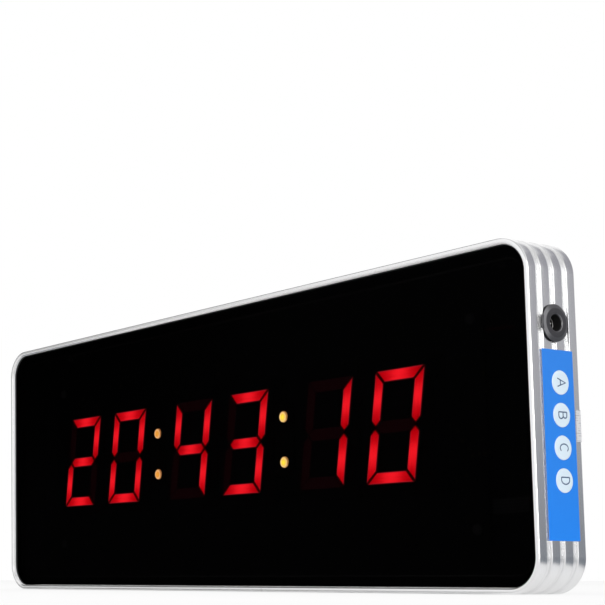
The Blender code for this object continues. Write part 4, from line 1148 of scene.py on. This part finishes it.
def make_buttons():
    mesh = make_cap_mesh(BUTTONS[0][3], BUTTONS[0][4])
    for letter, y, z, x0, x1 in BUTTONS:
        place("button_disc_" + letter, mesh, None, "button_" + letter, (x0, y, z),
              replaces=("button_cap_" + letter,), smooth=40.0)
        for k, points in enumerate(letter_strokes(letter, 0.0044)):
            bm = bmesh.new()
            stroke(bm, points, 0.00046, x1 - 0.00003, x1 + 0.00002)
            if k == 0:
                letter_bm = bm
            else:
                tmp = bpy.data.meshes.new("tmp")
                bm.to_mesh(tmp)
                bm.free()
                letter_bm.from_mesh(tmp)
        piece("button_letter_" + letter, letter_bm, M_INK, "button_" + letter, (0, y + 0.0004, z), smooth=0)


make_buttons()


# ------------------------------------------------------------------ paper seal over the rear edge
def make_seal():
    lo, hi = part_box("seal_sticker")
    x_out, y_back = hi.x - 0.00012, hi.y - 0.00012
    t = 0.00011
    path = [(x_out, lo.y, 1.0, 0.0)]
    for k in range(1, 6):
        path.append((x_out, lo.y + (y_back - lo.y) * k / 6, 1.0, 0.0))
    for k in range(5):
        a = math.radians(90.0 * k / 4)
        path.append((x_out - 0.00008 + 0.00008 * math.cos(a), y_back - 0.00008 + 0.00008 * math.sin(a), math.cos(a), math.sin(a)))
    for k in range(1, 9):
        path.append((x_out + (lo.x - x_out) * k / 8, y_back, 0.0, 1.0))
    bm = bmesh.new()
    rows = 25
    rings = []
    for j in range(rows):
        z = lo.z + (hi.z - lo.z) * j / (rows - 1)
        inner, outer = [], []
        for i, (x, y, nx, ny) in enumerate(path):
            lift = 0.0
            inner.append((x + nx * lift, y + ny * lift, z))
            outer.append((x + nx * (t + lift), y + ny * (t + lift), z))
        rings.append(inner + list(reversed(outer)))
    loft(bm, rings)
    piece("paper_seal", bm, M_PAPER, replaces=("seal_sticker",), smooth=40.0)


make_seal()


# ------------------------------------------------------------------ materials of the CAD pieces that stay
KEEP = {
    "frame_joint_plate": M_INNER_ALU, "panel_gasket": M_FOAM, "main_pcb": M_BOARD, "button_pcb": M_BOARD,
    "microcontroller": M_CHIP, "led_driver": M_CHIP, "clock_crystal": M_CAN, "coin_cell_holder": M_COVER,
    "coin_cell": M_NICKEL, "buzzer": M_CHIP, "filter_capacitor": M_CAN, "dc_jack_nut": M_ZINC,
    "power_lead_red": M_WIRE_RED, "power_lead_black": M_WIRE_BLACK, "button_ribbon": M_RIBBON,
}
for n in range(1, 7):
    KEEP[f"digit_housing_{n}"] = M_HOUSING
for n in range(1, 5):
    KEEP[f"pcb_screw_{n}"] = M_ZINC
for letter in "abcd":
    KEEP["switch_body_" + letter] = M_SWITCH
    KEEP["switch_plunger_" + letter] = M_SWITCH
for name, mat in KEEP.items():
    ob = NODES[name]
    if not ob.material_slots:
        ob.data.materials.append(mat)
    for s in ob.material_slots:
        s.material = mat


# ------------------------------------------------------------------ floor, world, light
def make_floor():
    bm = bmesh.new()
    bmesh.ops.create_grid(bm, x_segments=4, y_segments=4, size=6.0)
    mesh = bpy.data.meshes.new("floor")
    bm.to_mesh(mesh)
    bm.free()
    mat = new_material("pale_floor")
    t = Tree(mat.node_tree)
    path = t.node("ShaderNodeLightPath")
    sep = t.node("ShaderNodeSeparateXYZ")
    geo = t.node("ShaderNodeNewGeometry")
    t.put(sep, 0, geo.outputs["Position"])
    fx, fy = sep.outputs[0], sep.outputs[1]
    # two grey zones that only reflections see: a painted contact shadow just in front of the left half, and a zone off
    # the right-hand end
    near_painted_shadow = t.math("MULTIPLY", t.range(fy, -0.027, -0.031, smooth=True), t.range(fy, -0.050, -0.041, smooth=True))
    near_painted_shadow = t.math("MULTIPLY", near_painted_shadow, t.range(fx, 0.20, -0.06, smooth=True))
    rx, ry = t.math("SUBTRACT", fx, 0.18), t.math("ADD", fy, 0.01)
    along = t.math("ADD", t.math("MULTIPLY", rx, 0.616), t.math("MULTIPLY", ry, 0.788))
    across = t.math("ABSOLUTE", t.math("SUBTRACT", t.math("MULTIPLY", ry, 0.616), t.math("MULTIPLY", rx, 0.788)))
    off = t.math("MULTIPLY", t.range(along, 0.025, 0.060, smooth=True),
                 t.range(t.math("SUBTRACT", across, t.math("MULTIPLY", along, 0.45)), 0.08, 0.0, smooth=True))
    lx = t.math("SUBTRACT", t.math("MULTIPLY", fx, -1.0), 0.18)
    lee = t.math("MULTIPLY", t.range(lx, 0.06, 0.16, smooth=True),
                 t.range(t.math("SUBTRACT", t.math("ABSOLUTE", t.math("ADD", fy, 0.013)), t.math("MULTIPLY", lx, 0.40)), 0.09, 0.0, smooth=True))
    off = t.math("MAXIMUM", off, lee)
    seen = path.outputs["Is Camera Ray"]
    # painted shadow: the zone in front of the left half is darkened for reflections
    pale = t.mix(near_painted_shadow, (0.84, 0.84, 0.84), (0.02, 0.02, 0.02))
    pale = t.mix(off, pale, (0.20, 0.22, 0.25))
    pale = t.mix(seen, pale, (0.90, 0.90, 0.90))
    diffuse = t.node("ShaderNodeBsdfDiffuse")
    t.put(diffuse, "Color", pale)
    glow = t.node("ShaderNodeEmission")
    glow.inputs["Color"].default_value = (1.0, 1.0, 1.0, 1)
    glow.inputs["Strength"].default_value = 1.0
    mix = t.node("ShaderNodeMixShader")
    # painted light: a small glowing zone under the right-hand bottom corner, also seen by reflections only
    under = t.math("MULTIPLY", t.range(fx, 0.150, 0.166, smooth=True), t.range(fx, 0.215, 0.190, smooth=True))
    under = t.math("MULTIPLY", under, t.math("MULTIPLY", t.range(fy, -0.045, -0.030, smooth=True), t.range(fy, 0.035, 0.012, smooth=True)))
    t.put(mix, 0, t.math("MAXIMUM", t.math("MULTIPLY", seen, 0.80), t.math("MULTIPLY", t.math("MULTIPLY", under, t.math("SUBTRACT", 1.0, seen)), 0.50)))
    t.tree.links.new(diffuse.outputs[0], mix.inputs[1])
    t.tree.links.new(glow.outputs[0], mix.inputs[2])
    t.output(mix.outputs[0])
    mesh.materials.append(mat)
    ob = bpy.data.objects.new("floor", mesh)
    ob.location = (0, 0, cad_low.z - 0.0001)
    bpy.context.scene.collection.objects.link(ob)


make_floor()


def make_world():
    """Soft white studio with a grey card at the right rear, mirrored in the end wall, and a large box at the front right."""
    world = bpy.data.worlds.new("studio")
    bpy.context.scene.world = world
    world.use_nodes = True
    world.node_tree.nodes.clear()
    t = Tree(world.node_tree)
    tc = t.node("ShaderNodeTexCoord")
    d = t.vmath("NORMALIZE", tc.outputs["Generated"])
    flat = t.vmath("NORMALIZE", t.vmath("MULTIPLY", d, (1.0, 1.0, 0.0)))
    sep = t.node("ShaderNodeSeparateXYZ")
    t.put(sep, 0, d)
    z = sep.outputs[2]

    def sector(azimuth, inner, outer):
        a = math.radians(azimuth)
        dot = t.vmath("DOT_PRODUCT", flat, (math.cos(a), math.sin(a), 0.0))
        return t.range(dot, math.cos(math.radians(outer)), math.cos(math.radians(inner)), smooth=True)

    def lobe(azimuth, elevation, inner, outer):
        a, e = math.radians(azimuth), math.radians(elevation)
        dot = t.vmath("DOT_PRODUCT", d, (math.cos(a) * math.cos(e), math.sin(a) * math.cos(e), math.sin(e)))
        return t.range(dot, math.cos(math.radians(outer)), math.cos(math.radians(inner)), smooth=True)

    value = t.range(z, -0.05, 0.25, 0.95, 1.05, smooth=True)
    value = t.math("ADD", value, t.math("MULTIPLY", sector(-20, 25, 75), t.range(z, 0.0, 0.15, 0.05, 0.25, smooth=True)))
    value = t.math("ADD", value, t.math("MULTIPLY", lobe(-31, 11, 11, 21), 2.6))
    value = t.math("MULTIPLY", value, t.math("SUBTRACT", 1.0, t.math("MULTIPLY", lobe(3, 2, 14, 24), 0.60)))
    card = t.node("ShaderNodeValToRGB")
    card.color_ramp.elements[0].position = 0.0
    card.color_ramp.elements[0].color = (0.22, 0.24, 0.27, 1)
    card.color_ramp.elements[1].position = 0.80
    card.color_ramp.elements[1].color = (1.0, 1.0, 1.0, 1)
    for at, level in ((0.06, (0.33, 0.34, 0.37)), (0.115, (0.45, 0.455, 0.48)), (0.145, (0.44, 0.44, 0.47)), (0.17, (0.41, 0.41, 0.44)),
                      (0.25, (0.38, 0.38, 0.41)), (0.40, (0.34, 0.34, 0.37)), (0.62, (0.34, 0.34, 0.37))):
        card.color_ramp.elements.new(at).color = (*level, 1)
    t.put(card, 0, t.math("MAXIMUM", z, 0.0))
    mask = t.math("MULTIPLY", sector(52, 14, 28), t.range(z, 0.30, 0.20, smooth=True))
    mask = t.math("MAXIMUM", mask, lobe(74, 27, 24, 38))
    value = t.math("MULTIPLY", value, t.math("SUBTRACT", 1.0, t.math("MULTIPLY", lobe(-147, 12, 3, 10), 0.62)))
    value = t.math("MULTIPLY", value, t.math("SUBTRACT", 1.0, t.math("MULTIPLY", lobe(180, 36, 14, 32), 0.88)))
    left = t.math("MULTIPLY", sector(184, 16, 30), t.range(z, 0.85, 0.35, smooth=True))
    left = t.math("MULTIPLY", left, t.range(z, 0.0, 0.30, 0.66, 0.50))
    value = t.math("MULTIPLY", value, t.math("SUBTRACT", 1.0, left))
    value = t.math("MULTIPLY", value, t.range(z, 0.80, 0.96, 1.0, 0.62, smooth=True))
    value = t.math("MULTIPLY", value, t.math("SUBTRACT", 1.0, t.math("MULTIPLY", sector(-40, 40, 70), t.range(z, 0.34, 0.50, 0.0, 0.45, smooth=True))))
    open_sky = t.node("ShaderNodeCombineColor")
    for i in range(3):
        t.put(open_sky, i, value)
    sky = t.mix(mask, open_sky.outputs[0], card.outputs[0])
    path = t.node("ShaderNodeLightPath")
    bg = t.node("ShaderNodeBackground")
    t.put(bg, "Color", sky)
    white = t.node("ShaderNodeBackground")
    white.inputs["Color"].default_value = (1, 1, 1, 1)
    mix = t.node("ShaderNodeMixShader")
    t.put(mix, 0, path.outputs["Is Camera Ray"])
    t.tree.links.new(bg.outputs[0], mix.inputs[1])
    t.tree.links.new(white.outputs[0], mix.inputs[2])
    out = t.node("ShaderNodeOutputWorld")
    t.tree.links.new(mix.outputs[0], out.inputs["Surface"])


make_world()


def area_light(name, location, target, size, power, colour=(1, 1, 1)):
    data = bpy.data.lights.new(name, "AREA")
    data.shape = "RECTANGLE"
    data.size, data.size_y = size
    data.energy = power
    data.color = colour
    ob = bpy.data.objects.new(name, data)
    ob.location = location
    ob.rotation_mode = "QUATERNION"
    ob.rotation_quaternion = (Vector(target) - Vector(location)).to_track_quat("-Z", "Y")
    bpy.context.scene.collection.objects.link(ob)
    return ob


area_light("key_softbox", (1.25, -0.80, 0.22), (0.15, 0, 0), (0.8, 0.5), 4.1)
area_light("top_softbox", (-0.1, -0.2, 1.3), (0, 0, 0), (1.2, 0.8), 5.0).visible_glossy = False


# ------------------------------------------------------------------ camera at the viewing angle
def make_camera():
    data = bpy.data.cameras.new("camera")
    cam = bpy.data.objects.new("camera", data)
    bpy.context.scene.collection.objects.link(cam)
    right = Vector((0.49121, 0.87104, 0.00123))
    down = Vector((-0.09287, 0.05377, -0.99423))
    ahead = Vector((-0.86607, 0.48826, 0.10731))
    eye = Vector((0.5535, -0.4862, -0.0616))
    rot = Matrix((right, -down, -ahead)).transposed()
    cam.rotation_mode = "QUATERNION"
    cam.rotation_quaternion = rot.to_quaternion()
    cam.location = eye
    data.sensor_width = 36.0
    data.lens = 1514.25 * 36.0 / 605.0
    data.clip_start, data.clip_end = 0.01, 50.0
    # the picture is an off-centre crop; the shift holds only at this viewpoint, so other views stay centred
    for prop, value in (("shift_x", 0.5 + 60.03 / 605.0), ("shift_y", (415.72 - 302.5) / 605.0)):
        driver = data.driver_add(prop).driver
        driver.type = "SCRIPTED"
        names = []
        for axis, ident in (("X", "LOC_X"), ("Y", "LOC_Y")):
            var = driver.variables.new()
            var.name = "c" + axis.lower()
            var.type = "TRANSFORMS"
            var.targets[0].id = cam
            var.targets[0].transform_type = ident
            var.targets[0].transform_space = "WORLD_SPACE"
            names.append(var.name)
        driver.expression = (f"{value:.6f} * ((abs(cx - {eye.x:.6f}) < 0.0005) * (abs(cy + {-eye.y:.6f}) < 0.0005))")
    bpy.context.scene.camera = cam


make_camera()

scene = bpy.context.scene
scene.view_settings.view_transform = "Standard"
scene.view_settings.look = "None"
scene.view_settings.exposure = 0.0
scene.view_settings.gamma = 1.0
